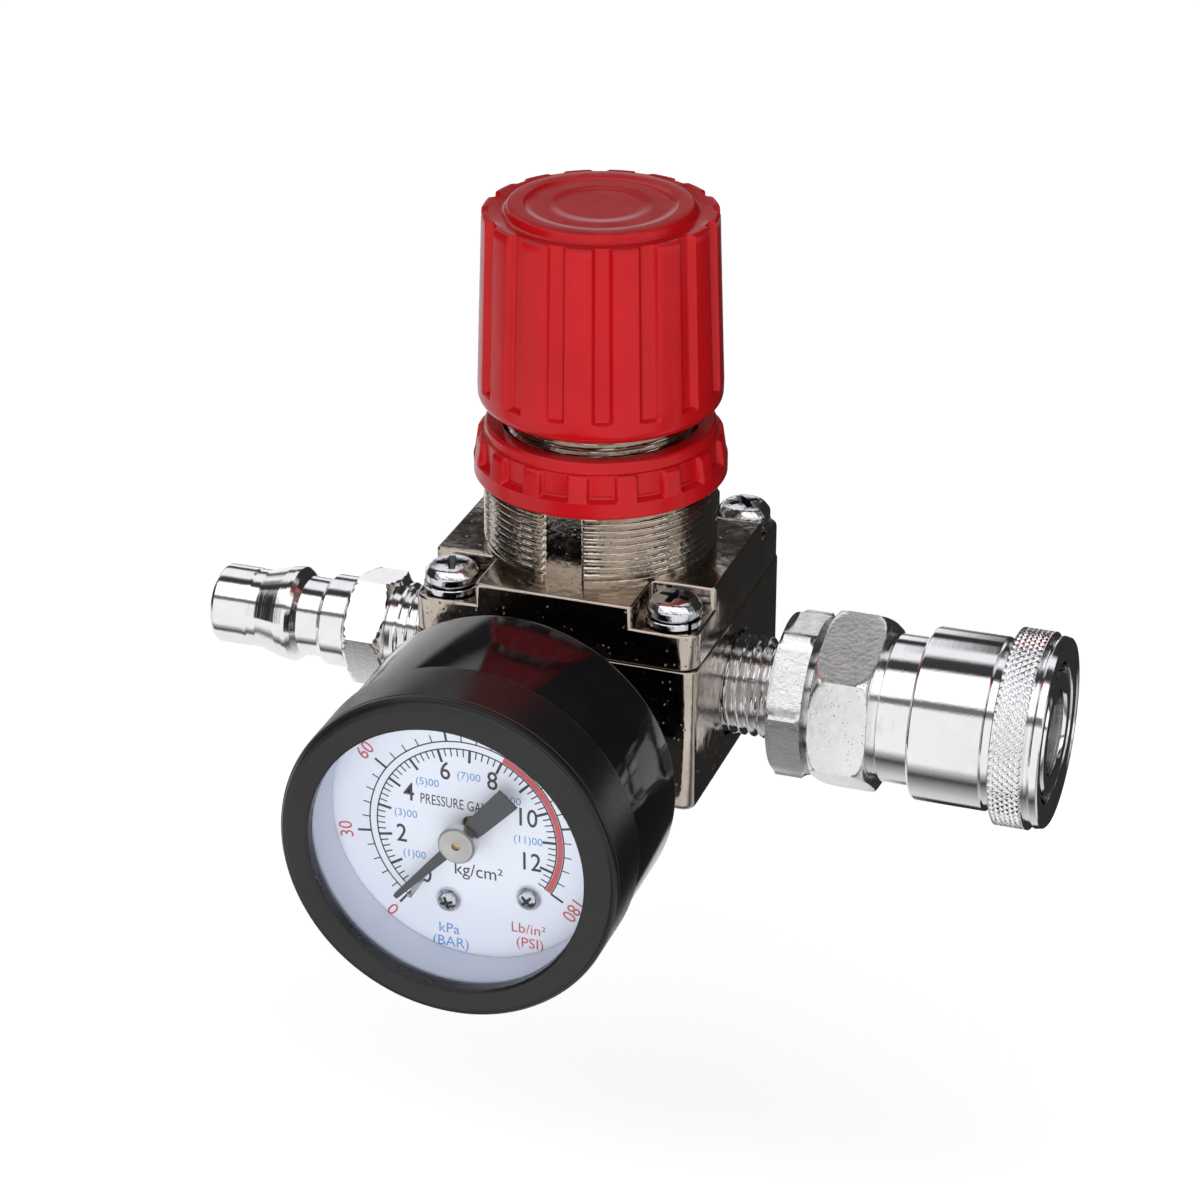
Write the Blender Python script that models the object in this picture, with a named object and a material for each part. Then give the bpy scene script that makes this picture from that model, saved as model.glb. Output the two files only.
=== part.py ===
# Pressure regulator with adjusting knob, pressure gauge, quick plug and quick socket.
# Metres, +Z up. Origin: centre of the bonnet flange's top face, on the knob's axis.
# +X runs towards the socket, the gauge faces -Y. Driving sizes below are in millimetres.
import math

import bmesh
import bpy
from mathutils import Matrix, Vector

MM = 0.001
GAP = 0.15            # between seated flat faces

# Body and bonnet
BLOCK_HALF = 18.75    # half of the square body and flange
FLANGE_BOTTOM = -7.85
BODY_TOP = -8.0
BODY_BOTTOM = -27.8
NECK_R = 15.0         # M30 neck thread
NECK_TOP = 12.0
STEM_R = 12.1         # upper bonnet thread
STEM_TOP = 22.0
SCREW_AT = 14.8       # bonnet screw positions, plus and minus in X and Y
SEAT_Z = -3.0         # floor of the corner notches
NOTCH = 10.4          # inner side of the corner notches
PORT_Z = -18.3        # axis of the inlet and the outlet
PORT_R = 6.85         # port bores

# Knob and ring
KNOB_LOW = 19.35
KNOB_RIM = 44.5
KNOB_R_TOP = 14.83
KNOB_R_LOW = 15.6
TEETH = 16
TOOTH_TURN = math.radians(-70.4)   # direction of one groove
RING_LOW = 9.48
RING_TOP = 16.6
RING_R = 16.2

# Gauge: local x right, y up, z towards the front
GAUGE_X = -1.55
GAUGE_Z = -19.8
CASE_R = 21.1
BEZEL_R = 21.5
WINDOW_R = 17.6
CASE_BACK = 27.4
BEZEL_FRONT = 53.0
DIAL_H = 43.4
POINTER_ANGLE = math.radians(227.6)
SECTOR_AT = (4.10, -11.28)         # sector pivot, 12 from the pointer's axis
MODULE = 0.3
PINION_TEETH = 8
SECTOR_TEETH = 72                  # of a full wheel

# Socket: positions along X
BALL_X = 52.6
BALL_R = 1.6
BALL_OUT = 6.45

for old in list(bpy.data.objects):
    bpy.data.objects.remove(old, do_unlink=True)


def finish(name, colour, roughness, metallic, alpha=1.0):
    mat = bpy.data.materials.new(name)
    mat.use_nodes = True
    shader = mat.node_tree.nodes["Principled BSDF"]
    shader.inputs["Base Color"].default_value = (*colour, 1.0)
    shader.inputs["Roughness"].default_value = roughness
    shader.inputs["Metallic"].default_value = metallic
    shader.inputs["Transmission Weight"].default_value = 1.0 - alpha
    mat.diffuse_color = (*colour, 1.0)
    return mat


NICKEL = finish("nickel_casting", (0.42, 0.36, 0.31), 0.22, 1.0)
CHROME = finish("chrome", (0.80, 0.80, 0.82), 0.08, 1.0)
ZINC = finish("zinc_screw", (0.62, 0.63, 0.65), 0.22, 1.0)
STEEL = finish("steel", (0.50, 0.50, 0.51), 0.30, 1.0)
SPRING = finish("spring_steel", (0.40, 0.40, 0.42), 0.30, 1.0)
BRASS = finish("brass", (0.72, 0.53, 0.25), 0.28, 1.0)
RED = finish("red_plastic", (0.62, 0.012, 0.022), 0.22, 0.0)
BLACK = finish("black_enamel", (0.012, 0.012, 0.014), 0.15, 0.0)
BEZEL_BLACK = finish("bezel_black", (0.035, 0.035, 0.037), 0.38, 0.0)
RUBBER = finish("rubber", (0.02, 0.02, 0.02), 0.75, 0.0)
WHITE = finish("dial_white", (0.78, 0.82, 0.92), 0.45, 0.0)
PALE = finish("spacer_plastic", (0.72, 0.75, 0.82), 0.40, 0.0)
DARK = finish("pointer_grey", (0.06, 0.06, 0.065), 0.5, 0.0)
GLASS = finish("clear_lens", (0.95, 0.97, 1.0), 0.03, 0.0, 0.0)

ALONG_Z = Matrix.Identity(4)
ALONG_X = Matrix.Rotation(math.radians(90), 4, "Y")      # local +Z becomes +X
ALONG_FRONT = Matrix.Rotation(math.radians(90), 4, "X")  # local +Z becomes -Y
GAUGE = Matrix.Translation(Vector((GAUGE_X, 0, GAUGE_Z)) * MM) @ ALONG_FRONT
PORTS = Matrix.Translation(Vector((0, 0, PORT_Z)) * MM) @ ALONG_X


def add(name, data, mat, place=ALONG_Z):
    obj = bpy.data.objects.new(name, data)
    bpy.context.scene.collection.objects.link(obj)
    data.materials.append(mat)
    obj.matrix_world = place
    return obj


def close(bm, name, smooth=35.0):
    """Turns a built bmesh into mesh data with outward faces."""
    bmesh.ops.recalc_face_normals(bm, faces=bm.faces[:])
    if bm.calc_volume(signed=True) < 0:
        bmesh.ops.reverse_faces(bm, faces=bm.faces[:])
    data = bpy.data.meshes.new(name)
    bm.to_mesh(data)
    bm.free()
    data.shade_smooth()
    data.set_sharp_from_angle(angle=math.radians(smooth))
    return data


def value(v, turn):
    return v(turn) if callable(v) else v


def turned_data(name, rows, steps=30, ring=False, start=0.0):
    """A turned solid: each row is a radius and a height, either of them a number or a
    function of the angle. Rows of radius 0 are points on the axis. With ring, the last
    row joins the first, which leaves a bore."""
    bm = bmesh.new()
    turns = [start + 2 * math.pi * i / steps for i in range(steps)]
    rings = []
    for r, h in rows:
        if r == 0:
            rings.append([bm.verts.new((0, 0, h * MM))])
        else:
            rings.append(
                [
                    bm.verts.new((value(r, t) * math.cos(t) * MM, value(r, t) * math.sin(t) * MM, value(h, t) * MM))
                    for t in turns
                ]
            )
    pairs = list(zip(rings, rings[1:]))
    if ring:
        pairs.append((rings[-1], rings[0]))
    for low, high in pairs:
        for i in range(steps):
            j = (i + 1) % steps
            if len(low) == 1:
                bm.faces.new((low[0], high[i], high[j]))
            elif len(high) == 1:
                bm.faces.new((low[i], low[j], high[0]))
            else:
                bm.faces.new((low[i], low[j], high[j], high[i]))
    return close(bm, name)


def turned(name, rows, mat, place=ALONG_Z, steps=30, ring=False, start=0.0):
    return add(name, turned_data(name, rows, steps, ring, start), mat, place)


def hexagon(af):
    """Radius of a hexagon of this width across flats, as a function of the angle."""
    return lambda t: af / 2 / math.cos((t + math.pi / 6) % (math.pi / 3) - math.pi / 6)


def hex_rows(af, low, high, chamfer=1.0):
    """Rows of a hexagon with both ends turned down to a cone."""
    side = hexagon(af)
    base = af / 2 * 0.985
    drop = lambda t: (side(t) - base) * 0.58 * chamfer
    return [
        (base, low),
        (side, lambda t: low + drop(t)),
        (side, lambda t: high - drop(t)),
        (base, high),
    ]


def prism_data(name, outline, low, high):
    bm = bmesh.new()
    face = bm.faces.new([bm.verts.new((x * MM, y * MM, low * MM)) for x, y in outline])
    made = bmesh.ops.extrude_face_region(bm, geom=[face])
    up = [v for v in made["geom"] if isinstance(v, bmesh.types.BMVert)]
    bmesh.ops.translate(bm, verts=up, vec=(0, 0, (high - low) * MM))
    return close(bm, name)


def prism(name, outline, low, high, mat, place=ALONG_Z):
    return add(name, prism_data(name, outline, low, high), mat, place)


def block_bm(bm, lo, hi):
    size = [b - a for a, b in zip(lo, hi)]
    mid = [(a + b) / 2 for a, b in zip(lo, hi)]
    made = bmesh.ops.create_cube(bm, size=1.0)
    bmesh.ops.scale(bm, vec=[s * MM for s in size], verts=made["verts"])
    bmesh.ops.translate(bm, vec=[m * MM for m in mid], verts=made["verts"])
    return made["verts"]


def block(name, lo, hi, mat, corner=0.0, edge=0.0, place=ALONG_Z):
    """A box with its four upright edges rounded, then its bottom edges eased."""
    bm = bmesh.new()
    block_bm(bm, lo, hi)
    if corner:
        upright = [e for e in bm.edges if abs(e.verts[0].co.z - e.verts[1].co.z) > 1e-6]
        bmesh.ops.bevel(bm, geom=upright, offset=corner * MM, segments=4, profile=0.5, affect="EDGES")
    if edge:
        low = [e for e in bm.edges if max(v.co.z for v in e.verts) < lo[2] * MM + 1e-7]
        bmesh.ops.bevel(bm, geom=low, offset=edge * MM, segments=2, profile=0.5, affect="EDGES")
    return add(name, close(bm, name), mat, place)


def cutter(name, data, place=ALONG_Z):
    obj = add(name, data, STEEL, place)
    obj.hide_render = True
    obj.display_type = "WIRE"
    return obj


def shape(obj, tool, operation="DIFFERENCE"):
    mod = obj.modifiers.new(tool.name, "BOOLEAN")
    mod.operation = operation
    mod.solver = "EXACT"
    mod.object = tool


def blocks_data(name, boxes):
    bm = bmesh.new()
    for lo, hi in boxes:
        block_bm(bm, lo, hi)
    return close(bm, name)


def rods_data(name, rods, steps=20):
    """Upright cylinders: x, y, radius, low and high."""
    bm = bmesh.new()
    for x, y, r, low, high in rods:
        bmesh.ops.create_cone(
            bm, cap_ends=True, segments=steps, radius1=r * MM, radius2=r * MM, depth=(high - low) * MM,
            matrix=Matrix.Translation(Vector((x, y, (low + high) / 2)) * MM),
        )
    return close(bm, name)


def coil(name, radius, wire, low, high, turns, mat, place=ALONG_Z, per_turn=14):
    """A compression spring as a curve with a round bevel; low and high are the outer ends."""
    data = bpy.data.curves.new(name, "CURVE")
    data.dimensions = "3D"
    data.bevel_depth = wire * MM
    data.bevel_resolution = 0
    data.use_fill_caps = True
    line = data.splines.new("POLY")
    count = int(turns * per_turn)
    line.points.add(count)
    a, b = low + wire, high - wire
    for i in range(count + 1):
        t = 2 * math.pi * turns * i / count
        line.points[i].co = (radius * math.cos(t) * MM, radius * math.sin(t) * MM, (a + (b - a) * i / count) * MM, 1)
    return add(name, data, mat, place)


def o_ring(name, radius, wire, at, mat, place=ALONG_Z, steps=20):
    rows = [
        (radius + wire * math.cos(2 * math.pi * k / 6), at + wire * math.sin(2 * math.pi * k / 6)) for k in range(6)
    ]
    return turned(name, rows, mat, place, steps, ring=True)


def cross_data(name, reach, width, low, high, place_at):
    """A cross-shaped driver recess at each of the given points."""
    w, e = width / 2, reach
    outline = [(w, w), (e, w), (e, -w), (w, -w), (w, -e), (-w, -e), (-w, -w), (-e, -w), (-e, w), (-w, w), (-w, e), (w, e)]
    bm = bmesh.new()
    for cx, cy, turn in place_at:
        c, s = math.cos(turn), math.sin(turn)
        pts = [(cx + x * c - y * s, cy + x * s + y * c) for x, y in outline]
        face = bm.faces.new([bm.verts.new((x * MM, y * MM, low * MM)) for x, y in pts])
        made = bmesh.ops.extrude_face_region(bm, geom=[face])
        up = [v for v in made["geom"] if isinstance(v, bmesh.types.BMVert)]
        bmesh.ops.translate(bm, verts=up, vec=(0, 0, (high - low) * MM))
    return close(bm, name)


# ---------------------------------------------------------------- body
body = block("body", (-BLOCK_HALF, -BLOCK_HALF, BODY_BOTTOM), (BLOCK_HALF, BLOCK_HALF, BODY_TOP), NICKEL, 1.5, 0.5)
shape(body, cutter("cut_body_core", turned_data("cut_body_core", [
    (0, -7.0), (16.3, -7.0), (16.3, -9.0), (12.5, -9.0), (12.5, -11.0), (2.2, -11.0), (2.2, -14.5),
    (5.0, -14.5), (5.0, -23.4), (6.5, -23.4), (6.5, -29.0), (0, -29.0)], 24)))
shape(body, cutter("cut_body_inlet", turned_data("cut_body_inlet", [
    (0, -20.0), (PORT_R, -20.0), (PORT_R, -9.0), (3.0, -9.0), (3.0, -3.0), (0, -3.0)], 20), PORTS))
shape(body, cutter("cut_body_outlet", turned_data("cut_body_outlet", [
    (0, 9.0), (PORT_R, 9.0), (PORT_R, 20.0), (0, 20.0)], 20), PORTS))
shape(body, cutter("cut_body_gauge", turned_data("cut_body_gauge", [
    (0, 10.9), (5.0, 10.9), (5.0, 20.0), (0, 20.0)], 16), GAUGE))
shape(body, cutter("cut_body_rear", turned_data("cut_body_rear", [
    (0, -20.0), (5.0, -20.0), (5.0, -10.9), (0, -10.9)], 16),
    Matrix.Translation(Vector((0, 0, GAUGE_Z)) * MM) @ ALONG_FRONT))
shape(body, cutter("cut_body_screws", rods_data("cut_body_screws", [
    (sx * SCREW_AT, sy * SCREW_AT, 2.3, -17.0, -7.0) for sx in (-1, 1) for sy in (-1, 1)], 12)))
shape(body, cutter("cut_body_bleeds", rods_data("cut_body_bleeds", [
    (10.7, 0, 1.0, -12.6, -10.4), (GAUGE_X, -11.6, 0.7, -16.5, -10.4)], 8)))

# ---------------------------------------------------------------- bonnet
bonnet = block("bonnet", (-BLOCK_HALF, -BLOCK_HALF, FLANGE_BOTTOM), (BLOCK_HALF, BLOCK_HALF, 0.0), NICKEL, 2.0)
shape(bonnet, cutter("join_bonnet_neck", turned_data("join_bonnet_neck", [
    (0, -4.0), (NECK_R, -4.0), (NECK_R, NECK_TOP - 0.6), (NECK_R - 0.6, NECK_TOP), (STEM_R, NECK_TOP),
    (STEM_R, STEM_TOP - 0.6), (STEM_R - 0.6, STEM_TOP), (0, STEM_TOP)], 36)), "UNION")
shape(bonnet, cutter("cut_bonnet_bore", turned_data("cut_bonnet_bore", [
    (0, -9.0), (9.6, -9.0), (9.6, 16.0), (3.85, 16.0), (3.85, 23.0), (0, 23.0)], 24)))
shape(bonnet, cutter("cut_bonnet_grooves", blocks_data("cut_bonnet_grooves", [((-11.0, -1.7, -9.0), (11.0, 1.7, 14.3))])))
shape(bonnet, cutter("cut_bonnet_notches", blocks_data("cut_bonnet_notches", [
    ((min(sx * NOTCH, sx * 20), min(sy * NOTCH, sy * 20), SEAT_Z), (max(sx * NOTCH, sx * 20), max(sy * NOTCH, sy * 20), 1.0))
    for sx in (-1, 1) for sy in (-1, 1)])))
shape(bonnet, cutter("cut_bonnet_screws", rods_data("cut_bonnet_screws", [
    (sx * SCREW_AT, sy * SCREW_AT, 2.3, -9.0, -2.0) for sx in (-1, 1) for sy in (-1, 1)], 12)))
shape(bonnet, cutter("cut_bonnet_keyway", blocks_data("cut_bonnet_keyway", [((-2.65, -16.0, -0.05), (2.65, -14.0, 12.5))])))

# ---------------------------------------------------------------- bonnet screws and spring washers
number = 0
for sx in (-1, 1):
    for sy in (-1, 1):
        number += 1
        at = Matrix.Translation(Vector((sx * SCREW_AT, sy * SCREW_AT, 0)) * MM)
        screw = turned(f"bonnet_screw_{number}", [
            (0, -15.8), (2.0, -15.8), (2.0, -1.7), (3.45, -1.7), (3.45, -0.5), (3.0, 0.2), (2.0, 0.55),
            (0, 0.62)], ZINC, at, 14)
        turn = math.radians((20, 65, -10, 40)[number - 1])
        shape(screw, cutter(f"cut_screw_{number}", cross_data(f"cut_screw_{number}", 1.9, 0.85, -0.9, 1.5, [(0, 0, turn)]), at))
        turned(f"spring_washer_{number}", [(2.3, -2.85), (3.6, -2.85), (3.6, -1.85), (2.3, -1.85)], ZINC, at, 12, ring=True)

# ---------------------------------------------------------------- diaphragm, poppet and bottom plug
turned("diaphragm", [(2.15, -8.9), (16.0, -8.9), (16.0, -8.15), (2.15, -8.15)], RUBBER, steps=24, ring=True)
turned("diaphragm_plate", [
    (0, -9.7), (1.8, -9.7), (1.8, -7.95), (8.9, -7.95), (8.9, -6.6), (5.2, -6.6), (5.0, -4.6), (0, -4.6)], BRASS, steps=20)
turned("poppet_valve", [
    (0, -20.0), (1.2, -20.0), (1.4, -19.6), (1.4, -17.0), (3.7, -17.0), (3.7, -15.5), (1.2, -15.5), (1.2, -10.3),
    (0.9, -10.0), (0, -10.0)], BRASS, steps=16)
turned("poppet_seal", [(1.55, -15.35), (3.4, -15.35), (3.4, -14.7), (1.55, -14.7)], RUBBER, steps=16, ring=True)
coil("poppet_spring", 2.9, 0.3, -23.4, -17.2, 4.0, SPRING, per_turn=9)
turned("bottom_plug", [
    (0, -25.6), (hexagon(5.0), -25.6), (hexagon(5.0), -27.5), (5.9, -27.5), (6.2, -27.2), (6.2, -26.0), (5.3, -26.0),
    (5.3, -24.6), (6.2, -24.6), (6.2, -23.7), (0, -23.7)], BRASS, steps=18)
o_ring("bottom_plug_o_ring", 5.85, 0.42, -25.3, RUBBER, steps=16)
turned("rear_port_plug", [
    (0, -14.2), (hexagon(5.0), -14.2), (hexagon(5.0), -18.5), (4.4, -18.5), (4.7, -18.2), (4.7, -11.6), (4.4, -11.2), (0, -11.2)],
    STEEL, Matrix.Translation(Vector((0, 0, GAUGE_Z)) * MM) @ ALONG_FRONT, 18)

# ---------------------------------------------------------------- adjusting screw, nut and range spring
turned("adjusting_screw", [
    (0, -2.0), (2.9, -2.0), (3.3, -1.5), (3.3, 14.2), (6.0, 14.2), (6.0, 15.7), (3.4, 15.7), (3.4, 23.4),
    (hexagon(6.2), 23.6), (hexagon(6.2), 37.6), (2.9, 38.0), (0, 38.0)], STEEL, steps=18)
nut = turned("spring_nut", [(3.7, 8.4), (5.2, 8.4), (5.2, 10.2), (9.2, 10.2), (9.2, 13.8), (3.7, 13.8)], BRASS, steps=20, ring=True)
shape(nut, cutter("join_nut_ears", blocks_data("join_nut_ears", [
    ((-10.6, -1.3, 10.6), (-6.5, 1.3, 13.4)), ((6.5, -1.3, 10.6), (10.6, 1.3, 13.4))])), "UNION")
coil("range_spring", 7.0, 0.85, -6.45, 10.05, 4.5, SPRING, per_turn=10)

# ---------------------------------------------------------------- knob
knob = turned("knob", [
    (0, 45.3), (11.6, 45.3), (11.95, 44.45), (14.4, 44.5), (KNOB_R_TOP, 44.1),
    (KNOB_R_LOW, 22.6), (15.6, 20.9), (15.35, 19.7), (14.9, KNOB_LOW), (12.95, KNOB_LOW), (12.95, 41.3),
    (6.2, 41.3), (6.2, 25.0), (hexagon(7.0), 25.0), (hexagon(7.0), 40.8), (0, 40.8)], RED, steps=36)
bm = bmesh.new()
for i in range(TEETH):
    t = TOOTH_TURN + 2 * math.pi * i / TEETH
    verts = block_bm(bm, (13.9, -1.1, 22.0), (17.5, 1.1, 45.2))
    for v in verts:
        if v.co.x < 0.0145 and v.co.z < 0.03:
            v.co.x = 0.01472
    bmesh.ops.rotate(bm, verts=verts, cent=(0, 0, 0), matrix=Matrix.Rotation(t, 3, "Z"))
shape(knob, cutter("cut_knob_grooves", close(bm, "cut_knob_grooves")))

# ---------------------------------------------------------------- lock ring and its threaded insert
ring = turned("lock_ring", [
    (15.35, RING_LOW), (15.95, RING_LOW), (RING_R, 9.75), (RING_R, 11.8), (15.45, 15.0), (14.75, 15.05),
    (14.75, 16.3), (14.45, RING_TOP), (12.6, RING_TOP), (12.6, 15.3), (13.5, 15.3), (13.5, 12.35), (15.35, 12.35)],
    RED, steps=32, ring=True)
bm = bmesh.new()
for i in range(TEETH):
    t = TOOTH_TURN + 2 * math.pi * i / TEETH
    verts = block_bm(bm, (15.2, -1.72, 11.8), (18.0, 1.72, 16.5))
    bmesh.ops.rotate(bm, verts=verts, cent=(0, 0, 0), matrix=Matrix.Rotation(t, 3, "Z"))
shape(ring, cutter("cut_ring_pockets", close(bm, "cut_ring_pockets")))
turned("lock_ring_insert", [(12.45, 12.5), (13.25, 12.5), (13.25, 15.15), (12.45, 15.15)], BRASS, steps=24, ring=True)

# ---------------------------------------------------------------- gauge
turned("gauge_stem", [
    (0, 33.0), (1.3, 33.0), (1.3, 11.2), (4.4, 11.2), (4.75, 11.7), (4.75, 19.0), *hex_rows(12.0, 19.0, 26.6),
    (3.2, 26.6), (3.2, 28.85), (6.0, 28.85), (6.0, 38.4), (0, 38.4)], BRASS, GAUGE, 18)
turned("gauge_case", [
    (3.6, CASE_BACK), (20.2, CASE_BACK), (20.85, 27.7), (CASE_R, 28.4), (CASE_R, 43.2), (20.6, 43.2), (20.6, 48.6),
    (19.6, 48.6), (19.6, 28.6), (3.6, 28.6)], BLACK, GAUGE, 36, ring=True)
turned("gauge_bezel", [
    (20.9, 43.4), (BEZEL_R, 43.4), (BEZEL_R, 51.8), (21.1, 52.6), (20.2, BEZEL_FRONT),
    (WINDOW_R, BEZEL_FRONT), (WINDOW_R, 51.3), (20.9, 51.3)], BEZEL_BLACK, GAUGE, 36, ring=True)
turned("gauge_lens", [(0, 49.7), (20.6, 49.7), (20.6, 51.15), (0, 51.15)], GLASS, GAUGE, 30)
turned("lens_spacer", [(18.3, 43.7), (19.3, 43.7), (19.3, 49.5), (18.3, 49.5)], PALE, GAUGE, 24, ring=True)

dial_screws = [(11.4 * math.cos(math.radians(a)), 11.4 * math.sin(math.radians(a))) for a in (254, 310)]
dial = turned("gauge_dial", [(1.3, 42.9), (19.2, 42.9), (19.2, DIAL_H), (1.3, DIAL_H)], WHITE, GAUGE, 30, ring=True)
shape(dial, cutter("cut_dial", rods_data("cut_dial", [(x, y, 1.1, 42.5, 44.2) for x, y in dial_screws], 10), GAUGE))
for i, (x, y) in enumerate(dial_screws):
    at = GAUGE @ Matrix.Translation(Vector((x, y, 0)) * MM)
    screw = turned(f"dial_screw_{i + 1}", [
        (0, 41.2), (0.75, 41.2), (0.75, 43.55), (1.65, 43.55), (1.65, 43.95), (1.2, 44.4), (0, 44.55)], ZINC, at, 14)
    shape(screw, cutter(f"cut_dial_screw_{i + 1}", cross_data(f"cut_dial_screw_{i + 1}", 0.95, 0.4, 44.0, 45.2, [(0, 0, 0.3 + 0.5 * i)]), at))
stop = math.radians(232.6)
turned("stop_pin", [(0, 43.55), (0.35, 43.55), (0.35, 48.0), (0, 48.15)], STEEL,
       GAUGE @ Matrix.Translation(Vector((10.8 * math.cos(stop), 10.8 * math.sin(stop), 0)) * MM), 8)

hub_arc = [math.radians(a) for a in range(35, 146, 22)]
blade = ([(13.1, 0.3), (1.75, 0.75)] + [(1.9 * math.cos(a), 1.9 * math.sin(a)) for a in hub_arc]
         + [(-1.75, 1.25), (-9.2, 1.55), (-9.2, -1.55), (-1.75, -1.25)]
         + [(-1.9 * math.cos(a), -1.9 * math.sin(a)) for a in hub_arc] + [(1.75, -0.75), (13.1, -0.3)])
ca, sa = math.cos(POINTER_ANGLE), math.sin(POINTER_ANGLE)
prism("pointer", [(x * ca - y * sa, x * sa + y * ca) for x, y in blade], 47.0, 47.4, DARK, GAUGE)
turned("pointer_hub", [(0, 48.6), (0.42, 48.6), (0.42, 49.0), (2.1, 49.0), (2.4, 48.7), (2.4, 47.55), (0, 47.55)], CHROME, GAUGE, 20)

# Movement: two plates on pillars, a sector on its own pivot and the pinion on the pointer's shaft
PLATE = [(-9.6, -14.0), (10.4, -14.0), (10.4, -1.5), (6.0, 2.6), (-4.0, 2.6), (-9.6, -6.0)]
pillars = [(8.5, -3.0), (-8.0, -11.0)]
for name, low, high in (("movement_front_plate", 41.5, 42.3), ("movement_back_plate", 38.6, 39.4)):
    plate = prism(name, PLATE, low, high, BRASS, GAUGE)
    holes = [(0, 0, 1.0, low - 1, high + 1), (*SECTOR_AT, 1.0, low - 1, high + 1)]
    if high > 41:
        holes += [(x, y, 1.1, low - 1, high + 1) for x, y in dial_screws]
    shape(plate, cutter("cut_" + name, rods_data("cut_" + name, holes, 10), GAUGE))
for i, (x, y) in enumerate(pillars):
    turned(f"movement_pillar_{i + 1}", [(0, 39.55), (0.9, 39.55), (0.9, 41.35), (0, 41.35)], BRASS,
           GAUGE @ Matrix.Translation(Vector((x, y, 0)) * MM), 10)


def tooth(pitch_r, angle):
    """The four corners of a narrow tooth, root to root, anticlockwise."""
    pts = []
    for dr, half in ((-0.34, 0.23), (0.25, 0.10)):
        pts.append((pitch_r + dr, half))
    (rr, hr), (rt, ht) = pts
    return [(rr, angle - hr / rr), (rt, angle - ht / rt), (rt, angle + ht / rt), (rr, angle + hr / rr)]


pinion_r = MODULE * PINION_TEETH / 2
sector_r = MODULE * SECTOR_TEETH / 2
to_sector = math.atan2(SECTOR_AT[1], SECTOR_AT[0])
outline = []
for i in range(PINION_TEETH):
    outline += tooth(pinion_r, to_sector + (i + 0.5) * 2 * math.pi / PINION_TEETH)
pinion = prism("pinion_shaft", [(r * math.cos(a), r * math.sin(a)) for r, a in outline], 39.8, 41.2, BRASS, GAUGE)
shape(pinion, cutter("join_pinion_arbor", turned_data("join_pinion_arbor", [(0, 38.75), (0.6, 38.75), (0.6, 46.8), (0, 46.8)], 10), GAUGE), "UNION")

to_pinion = to_sector + math.pi
pitch = 2 * math.pi / SECTOR_TEETH
outline = []
for i in range(8, -2, -1):
    outline += tooth(sector_r, to_pinion - i * pitch)
left = to_pinion + pitch + 0.03
right = to_pinion - 8 * pitch - 0.03
outline += [(9.2, left), (2.2, left + 0.5)]
outline += [(1.7, to_pinion + a) for a in (1.1, 1.8, 2.6)]
outline += [(1.9, math.radians(320)), (5.8, math.radians(342)), (6.0, math.radians(350)), (5.8, math.radians(358)), (1.9, math.radians(380))]
outline += [(2.2, right + 2 * math.pi - 0.5), (9.2, right + 2 * math.pi)]
sector_place = GAUGE @ Matrix.Translation(Vector((*SECTOR_AT, 0)) * MM)
sector = prism("sector_gear", [(r * math.cos(a), r * math.sin(a)) for r, a in outline], 40.1, 40.9, BRASS, sector_place)
shape(sector, cutter("join_sector_arbor", turned_data("join_sector_arbor", [(0, 38.75), (0.6, 38.75), (0.6, 42.15), (0, 42.15)], 10), sector_place), "UNION")

tube = bpy.data.curves.new("bourdon_tube", "CURVE")
tube.dimensions = "3D"
tube.bevel_depth = 1.4 * MM
tube.bevel_resolution = 1
tube.use_fill_caps = True
path = [(-1.0, -7.8), (-1.2, -10.5), (-2.2, -13.2)]
path += [(14.8 * math.cos(math.radians(a)), 14.8 * math.sin(math.radians(a))) for a in range(-110, -375, -12)]
line = tube.splines.new("POLY")
line.points.add(len(path) - 1)
for point, (x, y) in zip(line.points, path):
    point.co = (x * MM, y * MM, 33.0 * MM, 1)
add("bourdon_tube", tube, BRASS, GAUGE)

# ---------------------------------------------------------------- inlet plug
turned("inlet_plug", [
    (3.75, -53.8), (5.1, -53.8), (5.35, -53.4), (5.3, -48.6), (5.6, -46.2), (6.4, -43.4), (6.4, -42.4),
    (5.3, -41.2), (5.3, -38.2), (6.15, -37.7), (6.15, -34.2), (5.5, -33.9), *hex_rows(14.0, -33.8, -28.3), (6.45, -28.3),
    (6.45, -12.5), (3.0, -12.5), (3.0, -30.0), (3.75, -30.0)], CHROME, PORTS @ Matrix.Rotation(math.radians(-11.0), 4, "Z"), 24, ring=True)

# ---------------------------------------------------------------- outlet nipple and quick socket
turned("outlet_nipple", [
    (3.2, 12.5), (6.45, 12.5), (6.45, 25.5), *hex_rows(19.0, 25.5, 30.0), (6.45, 30.0), (6.45, 36.0), (3.2, 36.0)],
    CHROME, PORTS @ Matrix.Rotation(math.radians(-7.5), 4, "Z"), 24, ring=True)
socket = turned("socket_body", [
    (6.85, 31.0), *hex_rows(21.0, 31.0, 38.7, 1.5), (9.2, 38.7), (9.2, 39.6), (9.6, 39.7), (9.6, 43.8), (7.9, 43.8), (7.9, 54.4),
    (7.0, 54.4), (7.0, 55.4), (7.9, 55.4), (7.9, 60.9), (5.6, 60.9), (5.6, 50.6), (6.6, 50.6), (6.6, 48.8), (5.6, 48.8),
    (5.6, 48.2), (3.9, 48.2), (3.9, 47.0), (6.0, 47.0), (6.0, 37.4), (6.85, 37.4)], CHROME,
    PORTS @ Matrix.Rotation(math.radians(23.1), 4, "Z"), 24, ring=True)
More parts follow.
